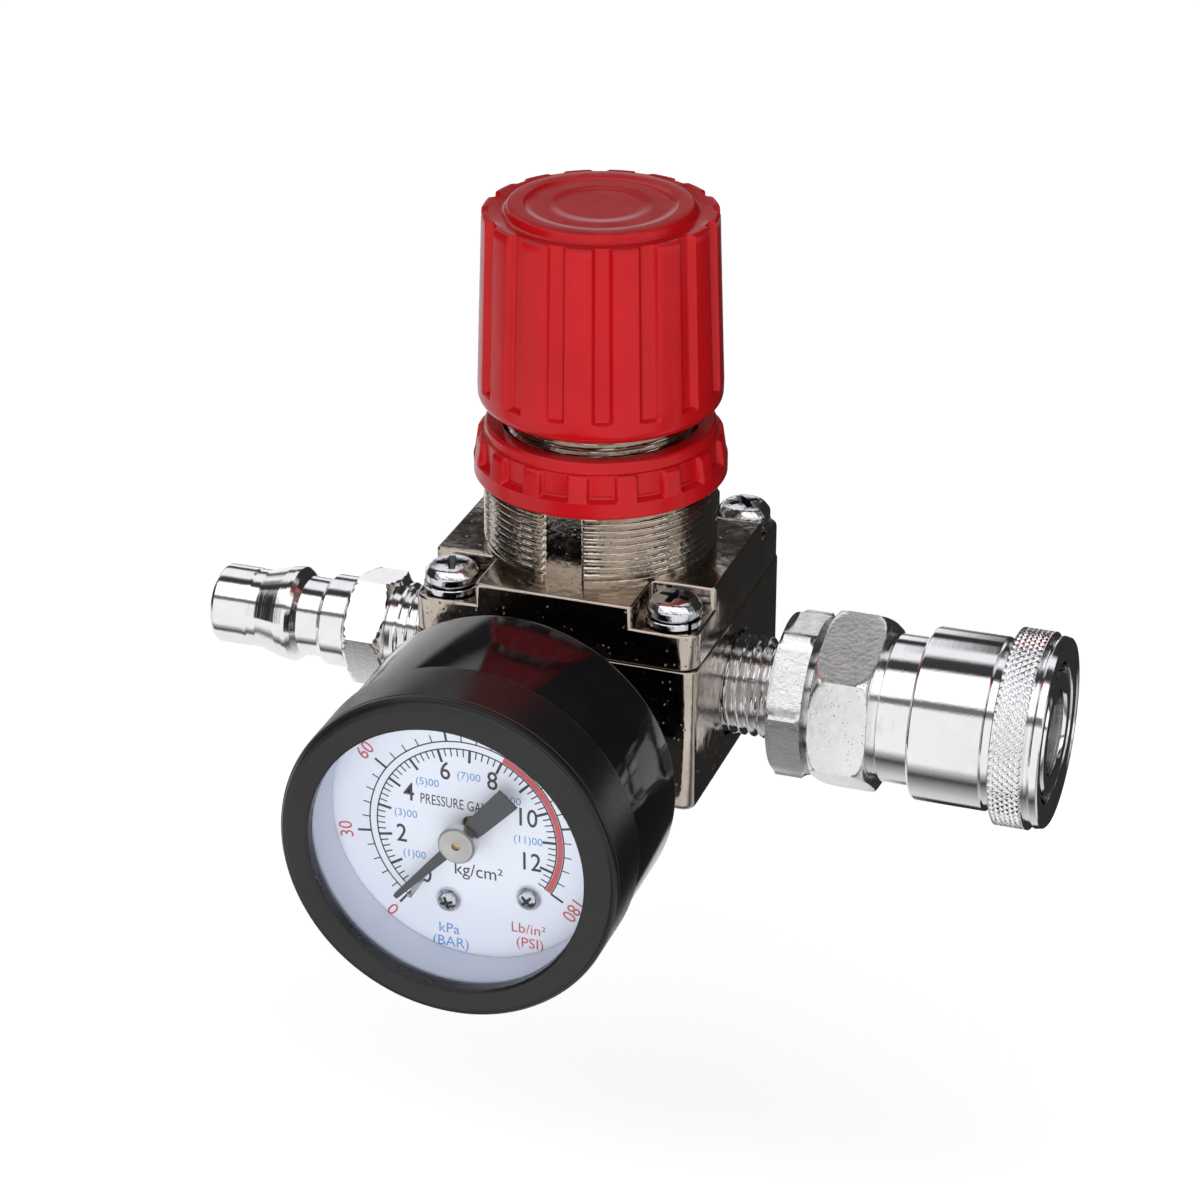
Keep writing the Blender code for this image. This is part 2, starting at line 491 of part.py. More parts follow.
for axis, turn in (("y", Matrix.Rotation(math.radians(90), 4, "X")), ("z", ALONG_Z)):
    hole = rods_data(f"cut_ball_holes_{axis}", [(0, 0, 1.75, -9.5, 9.5)], 10)
    shape(socket, cutter(f"cut_ball_holes_{axis}", hole, Matrix.Translation(Vector((BALL_X, 0, PORT_Z)) * MM) @ turn))
o_ring("socket_packing", 5.85, 0.68, 49.7, RUBBER, PORTS)
turned("socket_valve", [
    (0, 44.6), (5.4, 44.6), (5.4, 46.5), (3.5, 46.6), (3.5, 50.8), (0, 50.8)], BRASS, PORTS, 20)
coil("socket_valve_spring", 4.6, 0.4, 36.2, 44.4, 3.5, SPRING, PORTS, 10)
turned("stop_ring", [(7.15, 54.55), (8.9, 54.55), (8.9, 55.25), (7.15, 55.25)], STEEL, PORTS, 24, ring=True)
turned("socket_sleeve", [
    (9.95, 43.95), (11.2, 43.95), (11.2, 53.4), (10.7, 53.5), (10.7, 54.6), (12.7, 54.9), (12.7, 59.1), (11.9, 59.3),
    (11.9, 59.7), (12.34, 59.9), (12.34, 61.1), (9.1, 61.1), (9.1, 57.0), (9.4, 57.0), (9.4, 54.35), (8.65, 54.35),
    (8.2, 52.6), (8.2, 50.0), (9.95, 50.0)], CHROME, PORTS, 30, ring=True)
coil("sleeve_spring", 8.92, 0.4, 44.0, 49.85, 2.5, SPRING, PORTS, 11)
for i, (dy, dz) in enumerate(((1, 0), (-1, 0), (0, 1), (0, -1))):
    bm = bmesh.new()
    bmesh.ops.create_uvsphere(bm, u_segments=10, v_segments=6, radius=BALL_R * MM)
    place = Matrix.Translation(Vector((BALL_X, dy * BALL_OUT, PORT_Z + dz * BALL_OUT)) * MM)
    add(f"locking_ball_{i + 1}", close(bm, f"locking_ball_{i + 1}", 60), STEEL, place)
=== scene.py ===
import math

import bmesh
import bpy
import numpy as np
from mathutils import Matrix, Vector


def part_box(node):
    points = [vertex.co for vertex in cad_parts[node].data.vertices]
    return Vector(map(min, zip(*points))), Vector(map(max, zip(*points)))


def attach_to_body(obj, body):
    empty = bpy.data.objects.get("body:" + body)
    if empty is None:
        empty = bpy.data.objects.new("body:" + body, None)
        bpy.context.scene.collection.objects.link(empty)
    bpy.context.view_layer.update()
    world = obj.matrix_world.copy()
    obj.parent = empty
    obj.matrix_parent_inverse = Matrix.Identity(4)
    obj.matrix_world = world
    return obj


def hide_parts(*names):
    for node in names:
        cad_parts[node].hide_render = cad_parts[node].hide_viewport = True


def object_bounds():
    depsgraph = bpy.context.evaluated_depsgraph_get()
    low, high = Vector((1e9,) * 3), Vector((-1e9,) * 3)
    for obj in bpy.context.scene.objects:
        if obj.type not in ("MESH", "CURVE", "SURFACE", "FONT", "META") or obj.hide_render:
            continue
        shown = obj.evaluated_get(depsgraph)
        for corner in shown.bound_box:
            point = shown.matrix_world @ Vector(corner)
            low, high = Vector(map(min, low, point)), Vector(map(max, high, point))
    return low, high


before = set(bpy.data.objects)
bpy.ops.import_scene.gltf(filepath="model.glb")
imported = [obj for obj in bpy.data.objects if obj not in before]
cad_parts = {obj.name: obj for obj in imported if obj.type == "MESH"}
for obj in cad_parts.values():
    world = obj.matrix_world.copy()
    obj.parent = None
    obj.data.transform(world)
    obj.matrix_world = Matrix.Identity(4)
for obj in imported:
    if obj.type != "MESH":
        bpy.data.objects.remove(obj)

CAD_BOX = [list(c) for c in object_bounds()]
MM = 0.001
TAU = 2 * math.pi
scene = bpy.context.scene


def span(node):
    """Lowest and highest corner of a CAD node, in millimetres."""
    lo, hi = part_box(node)
    return np.array(lo) * 1000, np.array(hi) * 1000


# ------------------------------------------------------------------ camera, floor and light
cam_data = bpy.data.cameras.new("camera")
cam_data.sensor_width = 36.0
cam_data.lens = 108.0
cam_data.clip_start = 0.01
cam_data.clip_end = 20.0
cam = bpy.data.objects.new("camera", cam_data)
scene.collection.objects.link(cam)
az, el = math.radians(19.05), math.radians(26.33)
back = Vector((math.sin(az) * math.cos(el), -math.cos(az) * math.cos(el), math.sin(el)))
cam.location = Vector((-0.11, 0.0, -9.40)) * MM + back * 0.468
cam.rotation_mode = "QUATERNION"
cam.rotation_quaternion = (-back).to_track_quat("-Z", "Y")
scene.camera = cam
scene.view_settings.view_transform = "Standard"

FLOOR_Z = CAD_BOX[0][2] - 0.055
bm = bmesh.new()
bmesh.ops.create_grid(bm, x_segments=1, y_segments=1, size=6.0)
floor_mesh = bpy.data.meshes.new("floor")
bm.to_mesh(floor_mesh)
bm.free()
floor = bpy.data.objects.new("floor", floor_mesh)
floor.location = (0, 0, FLOOR_Z)
scene.collection.objects.link(floor)
m = bpy.data.materials.new("floor_paper")
m.use_nodes = True
p = m.node_tree.nodes["Principled BSDF"]
p.inputs["Base Color"].default_value = (0.93, 0.93, 0.93, 1)
p.inputs["Roughness"].default_value = 0.9
p.inputs["Specular IOR Level"].default_value = 0.1
p.inputs["Emission Color"].default_value = (1, 1, 1, 1)
p.inputs["Emission Strength"].default_value = 0.42
floor_mesh.materials.append(m)
floor.visible_glossy = False
floor.visible_diffuse = False

# Under the floor lies a glowing sheet that the polished parts mirror: bright in front, with a painted shadow of the
# part under it, bright again just behind it and dark where the sheet ends.
card_mesh = floor_mesh.copy()
card_mesh.name = "sheet"
card_mesh.transform(Matrix.Scale(0.45 / 6.0, 4))
card_mesh.materials.clear()
card = bpy.data.objects.new("sheet", card_mesh)
card.location = (0, 0, FLOOR_Z - 0.0005)
scene.collection.objects.link(card)
card.visible_camera = False
m = bpy.data.materials.new("sheet_glow_painted_shadow")
m.use_nodes = True
cn, cl = m.node_tree.nodes, m.node_tree.links.new
cn.clear()
c_out, c_em, c_co, c_xyz = (cn.new(t) for t in ("ShaderNodeOutputMaterial", "ShaderNodeEmission", "ShaderNodeTexCoord", "ShaderNodeSeparateXYZ"))
cl(c_co.outputs["Object"], c_xyz.inputs[0])


def step(source, a, b, to0=0.0, to1=1.0):
    n = cn.new("ShaderNodeMapRange")
    n.interpolation_type = "SMOOTHSTEP"
    n.inputs["From Min"].default_value = min(a, b)
    n.inputs["From Max"].default_value = max(a, b)
    n.inputs["To Min"].default_value = to0 if a < b else to1
    n.inputs["To Max"].default_value = to1 if a < b else to0
    cl(source, n.inputs["Value"])
    return n.outputs["Result"]


def mul(a, b):
    n = cn.new("ShaderNodeMath")
    n.operation = "MULTIPLY"
    cl(a, n.inputs[0])
    cl(b, n.inputs[1])
    return n.outputs[0]


along = cn.new("ShaderNodeMapRange")
along.inputs["From Min"].default_value = -0.2
along.inputs["From Max"].default_value = 0.2
cl(c_xyz.outputs["Y"], along.inputs["Value"])
sheet_ramp_painted_shadow = cn.new("ShaderNodeValToRGB")
# Painted shadow: the dip to 0.05 around y = -49 mm, running from about -75 to +36 mm, stands for the part's shadow on
# the sheet.
stops = [(0.0, 0.95), (0.2625, 0.95), (0.3125, 0.5), (0.3775, 0.05), (0.4325, 0.30), (0.5, 0.6), (0.59, 0.78), (0.78, 0.85), (0.81, 0.06), (1.0, 0.04)]
while len(sheet_ramp_painted_shadow.color_ramp.elements) < len(stops):
    sheet_ramp_painted_shadow.color_ramp.elements.new(0.5)
for e, (x, v) in zip(sheet_ramp_painted_shadow.color_ramp.elements, stops):
    e.position = x
    e.color = (v, v, v * 0.99, 1)
cl(along.outputs["Result"], sheet_ramp_painted_shadow.inputs["Fac"])
left = mul(step(c_xyz.outputs["X"], -0.012, -0.028), step(c_xyz.outputs["Y"], -0.045, -0.03))
right = mul(step(c_xyz.outputs["X"], 0.016, 0.028), step(c_xyz.outputs["Y"], 0.022, 0.036))
mix_l, mix_r = cn.new("ShaderNodeMix"), cn.new("ShaderNodeMix")
for n in (mix_l, mix_r):
    n.data_type = "RGBA"
cl(left, mix_l.inputs["Factor"])
cl(sheet_ramp_painted_shadow.outputs["Color"], mix_l.inputs["A"])
mix_l.inputs["B"].default_value = (0.9, 0.9, 0.9, 1)
cl(right, mix_r.inputs["Factor"])
cl(mix_l.outputs["Result"], mix_r.inputs["A"])
mix_r.inputs["B"].default_value = (0.03, 0.03, 0.03, 1)
cl(mix_r.outputs["Result"], c_em.inputs["Color"])
cl(c_em.outputs[0], c_out.inputs["Surface"])
card_mesh.materials.append(m)

# Light tent: long soft boxes above and in front, dark gaps between them. The angle is taken
# round the X axis, from the back horizon over the top to the front.
lamp = bpy.data.objects.new("front_light", bpy.data.lights.new("front_light", "AREA"))
lamp.data.shape = "SQUARE"
lamp.data.size = 0.35
lamp.data.energy = 1.8
lamp.location = (0.10, -0.62, 0.10)
lamp.rotation_euler = (Vector((0, 0, -0.01)) - Vector(lamp.location)).to_track_quat("-Z", "Y").to_euler()
lamp.visible_glossy = False
lamp.visible_camera = False
scene.collection.objects.link(lamp)

BANDS = [
    (-180, 0.97), (-16, 0.9), (-12, 0.10), (-3, 0.10), (1, 0.95), (16, 0.95), (20, 0.04), (31, 0.04), (36.5, 0.85), (41, 0.95), (68, 0.95), (75, 0.05), (91, 0.04),
    (96, 1.35), (134.5, 1.35), (138, 0.16), (145, 0.18), (149, 0.95), (180, 0.97),
]
world = bpy.data.worlds.new("studio")
scene.world = world
world.use_nodes = True
nt = world.node_tree
nt.nodes.clear()
out = nt.nodes.new("ShaderNodeOutputWorld")
coord = nt.nodes.new("ShaderNodeTexCoord")
sep = nt.nodes.new("ShaderNodeSeparateXYZ")
nt.links.new(coord.outputs["Generated"], sep.inputs[0])
ang = nt.nodes.new("ShaderNodeMath")
ang.operation = "ARCTAN2"
nt.links.new(sep.outputs["Z"], ang.inputs[0])
nt.links.new(sep.outputs["Y"], ang.inputs[1])
norm = nt.nodes.new("ShaderNodeMapRange")
norm.inputs["From Min"].default_value = -math.pi
norm.inputs["From Max"].default_value = math.pi
nt.links.new(ang.outputs[0], norm.inputs["Value"])
ramp = nt.nodes.new("ShaderNodeValToRGB")
nt.links.new(norm.outputs["Result"], ramp.inputs["Fac"])
cr = ramp.color_ramp
TOP = 4.0
while len(cr.elements) < len(BANDS):
    cr.elements.new(0.5)
for e, (deg, v) in zip(cr.elements, BANDS):
    e.position = (deg + 180) / 360
for e, (deg, v) in zip(cr.elements, BANDS):
    warm = 0.985 if (deg > 145 or deg < -5) else 1.01
    e.color = (v / TOP, v / TOP * 0.995, v / TOP * (warm if warm < 1 else 1.02), 1)
tent = nt.nodes.new("ShaderNodeBackground")
tent.inputs["Strength"].default_value = TOP


def gate(source, a, b):
    n = nt.nodes.new("ShaderNodeMapRange")
    n.interpolation_type = "SMOOTHSTEP"
    n.inputs["From Min"].default_value = min(a, b)
    n.inputs["From Max"].default_value = max(a, b)
    n.inputs["To Min"].default_value = 0.0 if a < b else 1.0
    n.inputs["To Max"].default_value = 1.0 if a < b else 0.0
    nt.links.new(source, n.inputs["Value"])
    return n.outputs["Result"]


def times(a, b):
    n = nt.nodes.new("ShaderNodeMath")
    n.operation = "MULTIPLY"
    nt.links.new(a, n.inputs[0])
    nt.links.new(b, n.inputs[1])
    return n.outputs[0]


# A white card stands behind on the left.
X, Y, Z = sep.outputs["X"], sep.outputs["Y"], sep.outputs["Z"]
side = times(times(times(gate(X, -0.40, -0.46), gate(Y, 0.5, 0.6)), gate(Z, -0.40, -0.34)), gate(Z, 0.16, 0.08))
# Black flags stand at the left end and behind on the right.
flag_left = times(times(gate(X, -0.60, -0.70), gate(Y, 0.5, 0.35)), gate(Z, 0.75, 0.60))
flag_right = times(times(gate(X, -0.22, -0.12), gate(Y, 0.15, 0.3)), times(gate(Z, -0.25, -0.15), gate(Z, 0.85, 0.75)))
colour = ramp.outputs["Color"]
for mask, value in ((side, 1.0), (flag_left, 0.03), (flag_right, 0.03)):
    blend = nt.nodes.new("ShaderNodeMix")
    blend.data_type = "RGBA"
    nt.links.new(mask, blend.inputs["Factor"])
    nt.links.new(colour, blend.inputs["A"])
    blend.inputs["B"].default_value = (value / TOP, value / TOP, value / TOP, 1)
    colour = blend.outputs["Result"]
nt.links.new(colour, tent.inputs["Color"])
plain = nt.nodes.new("ShaderNodeBackground")
plain.inputs["Color"].default_value = (1, 1, 1, 1)
plain.inputs["Strength"].default_value = 1.0
ray = nt.nodes.new("ShaderNodeLightPath")
mix = nt.nodes.new("ShaderNodeMixShader")
nt.links.new(ray.outputs["Is Camera Ray"], mix.inputs[0])
nt.links.new(tent.outputs[0], mix.inputs[1])
nt.links.new(plain.outputs[0], mix.inputs[2])
nt.links.new(mix.outputs[0], out.inputs["Surface"])


# ------------------------------------------------------------------ materials
def links(mat):
    return mat.node_tree.nodes, mat.node_tree.links.new


def principled(name):
    mat = bpy.data.materials.new(name)
    mat.use_nodes = True
    return mat, mat.node_tree.nodes["Principled BSDF"]


def noise(mat, scale, detail=3.0, rough=0.5, stretch=None):
    nodes, link = links(mat)
    tex = nodes.new("ShaderNodeTexNoise")
    tex.inputs["Scale"].default_value = scale
    tex.inputs["Detail"].default_value = detail
    tex.inputs["Roughness"].default_value = rough
    pos = nodes.new("ShaderNodeTexCoord")
    if stretch:
        mp = nodes.new("ShaderNodeMapping")
        mp.inputs["Scale"].default_value = stretch
        link(pos.outputs["Object"], mp.inputs["Vector"])
        link(mp.outputs["Vector"], tex.inputs["Vector"])
    else:
        link(pos.outputs["Object"], tex.inputs["Vector"])
    return tex


def ramp_of(mat, source, stops):
    nodes, link = links(mat)
    r = nodes.new("ShaderNodeValToRGB")
    while len(r.color_ramp.elements) < len(stops):
        r.color_ramp.elements.new(0.5)
    for e, (x, c) in zip(r.color_ramp.elements, stops):
        e.position = x
        e.color = (*c, 1) if len(c) == 3 else c
    link(source, r.inputs["Fac"])
    return r


def grey(v):
    return (v, v, v)


def bump(mat, shader, layers):
    """Chained bumps: each layer is a height output, a strength and a distance in metres."""
    nodes, link = links(mat)
    last = None
    for height, strength, distance in layers:
        b = nodes.new("ShaderNodeBump")
        b.inputs["Strength"].default_value = strength
        b.inputs["Distance"].default_value = distance
        link(height, b.inputs["Height"])
        if last is not None:
            link(last.outputs["Normal"], b.inputs["Normal"])
        last = b
    link(last.outputs["Normal"], shader.inputs["Normal"])


def metal(name, colour, dark, rough, peel=0.0, peel_scale=900.0, pits=0.0, pit_scale=1600.0, spread=0.06, lines=None, fine=0.0):
    """Plated or turned metal: a colour drift, uneven gloss, orange peel, small pits and turning lines."""
    mat, s = principled(name)
    nodes, link = links(mat)
    s.inputs["Metallic"].default_value = 1.0
    drift = noise(mat, 160.0, 4.0, 0.6)
    col = ramp_of(mat, drift.outputs["Fac"], [(0.30, dark), (0.68, colour)])
    base = col.outputs["Color"]
    gloss = noise(mat, 700.0, 3.0, 0.6)
    rr = ramp_of(mat, gloss.outputs["Fac"], [(0.3, grey(max(0.015, rough - spread))), (0.75, grey(rough + spread))])
    link(rr.outputs["Color"], s.inputs["Roughness"])
    layers = []
    if peel:
        n = noise(mat, peel_scale, 2.0, 0.45)
        layers.append((n.outputs["Fac"], peel, 0.0002))
    if fine:
        n = noise(mat, 6000.0, 2.0, 0.5)
        layers.append((n.outputs["Fac"], fine, 0.00003))
    if pits:
        v = nodes.new("ShaderNodeTexVoronoi")
        v.inputs["Scale"].default_value = pit_scale
        pos = nodes.new("ShaderNodeTexCoord")
        link(pos.outputs["Object"], v.inputs["Vector"])
        pr = ramp_of(mat, v.outputs["Distance"], [(0.08, grey(0.0)), (0.20, grey(1.0))])
        gate = noise(mat, pit_scale * 0.35, 2.0)
        gr = ramp_of(mat, gate.outputs["Fac"], [(0.50, grey(1.0)), (0.60, grey(0.0))])
        mx = nodes.new("ShaderNodeMath")
        mx.operation = "MAXIMUM"
        link(pr.outputs["Color"], mx.inputs[0])
        link(gr.outputs["Color"], mx.inputs[1])
        layers.append((mx.outputs[0], pits, 0.00012))
        dirt = nodes.new("ShaderNodeMix")
        dirt.data_type = "RGBA"
        link(mx.outputs[0], dirt.inputs["Factor"])
        dirt.inputs["A"].default_value = (*[c * 0.35 for c in dark], 1)
        link(base, dirt.inputs["B"])
        base = dirt.outputs["Result"]
    if lines:
        axis, scale, strength = lines
        stretch = [20.0, 20.0, 20.0]
        stretch["XYZ".index(axis)] = scale
        n = noise(mat, 1.0, 2.0, 0.6, stretch=stretch)
        layers.append((n.outputs["Fac"], strength, 0.00004))
    link(base, s.inputs["Base Color"])
    if layers:
        bump(mat, s, layers)
    return mat


def plastic(name, colour, dark, rough, grain=0.10, scale=1500.0, coat=0.0, metallic=0.0, spread=0.05, specular=0.5):
    mat, s = principled(name)
    nodes, link = links(mat)
    drift = noise(mat, 90.0, 5.0, 0.65)
    col = ramp_of(mat, drift.outputs["Fac"], [(0.3, dark), (0.7, colour)])
    link(col.outputs["Color"], s.inputs["Base Color"])
    gloss = noise(mat, 420.0, 4.0, 0.6)
    rr = ramp_of(mat, gloss.outputs["Fac"], [(0.3, grey(max(0.02, rough - spread))), (0.75, grey(rough + spread))])
    link(rr.outputs["Color"], s.inputs["Roughness"])
    s.inputs["Coat Weight"].default_value = coat
    s.inputs["Coat Roughness"].default_value = 0.06
    s.inputs["Metallic"].default_value = metallic
    s.inputs["Specular IOR Level"].default_value = specular
    n = noise(mat, scale, 3.0, 0.55)
    big = noise(mat, 260.0, 2.0, 0.5)
    bump(mat, s, [(big.outputs["Fac"], grain * 0.6, 0.0003), (n.outputs["Fac"], grain, 0.00006)])
    return mat


NICKEL = metal("nickel_cast", (0.60, 0.53, 0.47), (0.47, 0.40, 0.34), 0.13, peel=0.24, peel_scale=620.0, pits=0.5, pit_scale=1100.0, fine=0.15)
NICKEL_THREAD = metal("nickel_thread", (0.66, 0.60, 0.53), (0.50, 0.44, 0.38), 0.16, peel=0.25, peel_scale=1400.0, pits=0.3, fine=0.2)
CHROME = metal("chrome_turned", (0.93, 0.93, 0.94), (0.84, 0.84, 0.86), 0.05, peel=0.025, peel_scale=2600.0, spread=0.03, lines=("Z", 14000.0, 0.30), fine=0.08)
CHROME_SATIN = metal("chrome_hexagon", (0.90, 0.895, 0.89), (0.80, 0.795, 0.79), 0.24, peel=0.10, peel_scale=1700.0, pits=0.35, pit_scale=1900.0, fine=0.25)
CHROME_THREAD = metal("chrome_thread", (0.82, 0.82, 0.83), (0.55, 0.55, 0.57), 0.10, peel=0.12, peel_scale=2400.0, fine=0.2)
ZINC = metal("zinc_bright", (0.78, 0.79, 0.82), (0.62, 0.63, 0.67), 0.12, peel=0.35, peel_scale=1500.0, fine=0.25, pits=0.2, pit_scale=2600.0)
# Dark zinc that paints shade into the cross recesses of the screws.
RECESS_PAINTED_SHADE = metal("zinc_recess_painted_shade", (0.16, 0.16, 0.17), (0.06, 0.06, 0.07), 0.35, peel=0.2, peel_scale=2500.0)
HUB = metal("hub_satin", (0.68, 0.66, 0.63), (0.56, 0.54, 0.51), 0.32, peel=0.05, peel_scale=3000.0, fine=0.2)
STEEL = metal("steel_plain", (0.60, 0.60, 0.61), (0.46, 0.46, 0.47), 0.24, peel=0.08, peel_scale=2000.0, fine=0.25)
SPRING = metal("spring_wire", (0.42, 0.42, 0.44), (0.30, 0.30, 0.32), 0.28, peel=0.1, peel_scale=2500.0, fine=0.2)
BRASS = metal("brass_turned", (0.80, 0.62, 0.32), (0.66, 0.48, 0.22), 0.22, peel=0.08, peel_scale=1800.0, fine=0.25)
RED = plastic("red_gloss", (0.50, 0.006, 0.010), (0.43, 0.004, 0.006), 0.22, grain=0.10, scale=1300.0, coat=0.0, specular=0.26)
ENAMEL = plastic("black_enamel", (0.010, 0.010, 0.012), (0.005, 0.005, 0.006), 0.09, grain=0.02, scale=1500.0, coat=0.0, spread=0.03)
BEZEL = plastic("black_satin", (0.012, 0.012, 0.013), (0.009, 0.009, 0.010), 0.30, grain=0.12, scale=3500.0, specular=0.42)
RUBBER = plastic("rubber_black", (0.018, 0.018, 0.018), (0.010, 0.010, 0.010), 0.62, grain=0.2, scale=2500.0)
DIAL = plastic("dial_enamel", (0.86, 0.885, 0.95), (0.84, 0.865, 0.93), 0.42, grain=0.03, scale=2500.0)
SPACER = plastic("spacer_pale", (0.78, 0.81, 0.90), (0.73, 0.76, 0.86), 0.45, grain=0.05, scale=1500.0)
INK_BLACK = plastic("ink_black", (0.055, 0.055, 0.06), (0.045, 0.045, 0.05), 0.5, grain=0.05, scale=4000.0)
INK_BLUE = plastic("ink_blue", (0.16, 0.36, 0.68), (0.13, 0.31, 0.62), 0.5, grain=0.05, scale=4000.0)
INK_RED = plastic("ink_red", (0.62, 0.13, 0.14), (0.56, 0.10, 0.11), 0.5, grain=0.05, scale=4000.0)
POINTER = plastic("pointer_grey", (0.080, 0.080, 0.083), (0.064, 0.064, 0.067), 0.48, grain=0.08, scale=3000.0)

GLASS = bpy.data.materials.new("lens_clear")
GLASS.use_nodes = True
gn, glk = links(GLASS)
gn.clear()
g_out, g_mix, g_clear, g_gloss, g_fres = (gn.new(t) for t in (
    "ShaderNodeOutputMaterial", "ShaderNodeMixShader", "ShaderNodeBsdfTransparent", "ShaderNodeBsdfGlossy", "ShaderNodeFresnel"))
g_fres.inputs["IOR"].default_value = 1.22
g_clear.inputs["Color"].default_value = (0.975, 0.98, 0.99, 1)
gl = noise(GLASS, 300.0, 3.0)
gr = ramp_of(GLASS, gl.outputs["Fac"], [(0.4, grey(0.02)), (0.9, grey(0.06))])
glk(gr.outputs["Color"], g_gloss.inputs["Roughness"])
glk(g_fres.outputs[0], g_mix.inputs[0])
glk(g_clear.outputs[0], g_mix.inputs[1])
glk(g_gloss.outputs[0], g_mix.inputs[2])
glk(g_mix.outputs[0], g_out.inputs["Surface"])


# ------------------------------------------------------------------ mesh building
def put(name, verts, faces, mat, place=Matrix.Identity(4), body=None, node=(), sharp=40.0):
    data = bpy.data.meshes.new(name)
    data.from_pydata([tuple(v) for v in verts], [], faces)
    data.update()
    return wrap(name, data, mat, place, body, node, sharp)


def wrap(name, data, mat, place=Matrix.Identity(4), body=None, node=(), sharp=40.0):
    bm = bmesh.new()
    bm.from_mesh(data)
    if bm.calc_volume(signed=True) < 0:
        bmesh.ops.reverse_faces(bm, faces=bm.faces[:])
    bm.to_mesh(data)
    bm.free()
    data.shade_smooth()
    data.set_sharp_from_angle(angle=math.radians(sharp))
    data.materials.append(mat)
    obj = bpy.data.objects.new(name, data)
    scene.collection.objects.link(obj)
    obj.matrix_world = place
    if body:
        attach(obj, body, node)
    return obj


def attach(obj, body, node=()):
    bpy.context.view_layer.update()
    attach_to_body(obj, body)
    if node:
        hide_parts(*((node,) if isinstance(node, str) else node))


def fillet(points, radius=0.0, steps=4, ring=False):
    """Rounds the corners of a profile. A point may carry its own radius as a third value."""
    pts = [(p[0], p[1], p[2] if len(p) > 2 else radius) for p in points]
    n = len(pts)
    out = []
    for i, (x, y, r) in enumerate(pts):
        if (not ring and i in (0, n - 1)) or r <= 0:
            out.append((x, y))
            continue
        a = np.array(pts[i - 1][:2]) - (x, y)
        b = np.array(pts[(i + 1) % n][:2]) - (x, y)
        la, lb = np.linalg.norm(a), np.linalg.norm(b)
        if la < 1e-9 or lb < 1e-9:
            out.append((x, y))
            continue
        a, b = a / la, b / lb
        half = math.acos(max(-1, min(1, float(a @ b)))) / 2
        if half > math.radians(88):
            out.append((x, y))
            continue
        cut = min(r / math.tan(half), la * 0.48, lb * 0.48)
        rr = cut * math.tan(half)
        mid = (a + b) / np.linalg.norm(a + b)
        centre = np.array((x, y)) + mid * rr / math.sin(half)
        s0 = np.array((x, y)) + a * cut - centre
        s1 = np.array((x, y)) + b * cut - centre
        t0, t1 = math.atan2(s0[1], s0[0]), math.atan2(s1[1], s1[0])
        d = (t1 - t0 + math.pi) % TAU - math.pi
        for k in range(steps + 1):
            t = t0 + d * k / steps
            out.append((centre[0] + rr * math.cos(t), centre[1] + rr * math.sin(t)))
    return out


def dense(points, step, low=None, high=None):
    """Adds rows between profile points where both lie between the two heights."""
    out = [points[0]]
    for p, q in zip(points, points[1:]):
        if (low is None or min(p[1], q[1]) >= low - 1e-6) and (high is None or max(p[1], q[1]) <= high + 1e-6):
            n = max(1, int(math.ceil(math.hypot(q[0] - p[0], q[1] - p[1]) / step)))
        else:
            n = 1
        for k in range(1, n + 1):
            out.append((p[0] + (q[0] - p[0]) * k / n, p[1] + (q[1] - p[1]) * k / n))
    return out


def lathe_data(name, rows, seg=160, ring=False, warp=None, turns=None):
    th = np.arange(seg) * TAU / seg if turns is None else np.asarray(turns)
    seg = len(th)
    rows = np.array(rows, float)
    R = np.repeat(rows[:, :1], seg, 1)
    H = np.repeat(rows[:, 1:2], seg, 1)
    T = np.repeat(th[None, :], len(rows), 0)
    pole = rows[:, 0] <= 1e-9
    if warp:
        R, H = warp(T, R.copy(), H.copy())
    verts, index = [], []
    for i in range(len(rows)):
        if pole[i]:
            index.append([len(verts)])
            verts.append((0, 0, rows[i, 1] * MM))
        else:
            start = len(verts)
            index.append(list(range(start, start + seg)))
            x, y, z = R[i] * np.cos(th) * MM, R[i] * np.sin(th) * MM, H[i] * MM
            verts.extend(zip(x.tolist(), y.tolist(), z.tolist()))
    faces = []
    pairs = [(i, i + 1) for i in range(len(rows) - 1)]
    if ring:
        pairs.append((len(rows) - 1, 0))
    for a, b in pairs:
        A, B = index[a], index[b]
        for k in range(seg):
            l = (k + 1) % seg
            if len(A) == 1 and len(B) == 1:
                continue
            if len(A) == 1:
                faces.append((A[0], B[k], B[l]))
            elif len(B) == 1:
                faces.append((A[k], A[l], B[0]))
            else:
                faces.append((A[k], A[l], B[l], B[k]))
    data = bpy.data.meshes.new(name)
    data.from_pydata(verts, [], faces)
    data.update()
    return data


def lathe(name, rows, mat, place, body=None, node=(), seg=160, ring=False, warp=None, sharp=40.0, turns=None):
    return wrap(name, lathe_data(name, rows, seg, ring, warp, turns), mat, place, body, node, sharp)


def smooth(x):
    x = np.clip(x, 0, 1)
    return x * x * (3 - 2 * x)


def thread_warp(pitch, depth, low, high, flat=0.12, hand=1, fade=0.6):
    """Sinks a helical thread into whatever lies on the outside between two heights."""
    def warp(T, R, H):
        u = (H / pitch - hand * T / TAU) % 1.0
        tri = np.abs(2 * u - 1)
        cut = np.clip((tri - flat) / (1 - 2 * flat), 0, 1)
        ease = smooth((H - low) / fade) * smooth((high - H) / fade)
        return R - depth * cut * ease, H
    return warp


def hex_radius(af, T, turn=0.0):
    a = (T - turn + math.pi / 6) % (math.pi / 3) - math.pi / 6
    return af / 2 / np.cos(a)


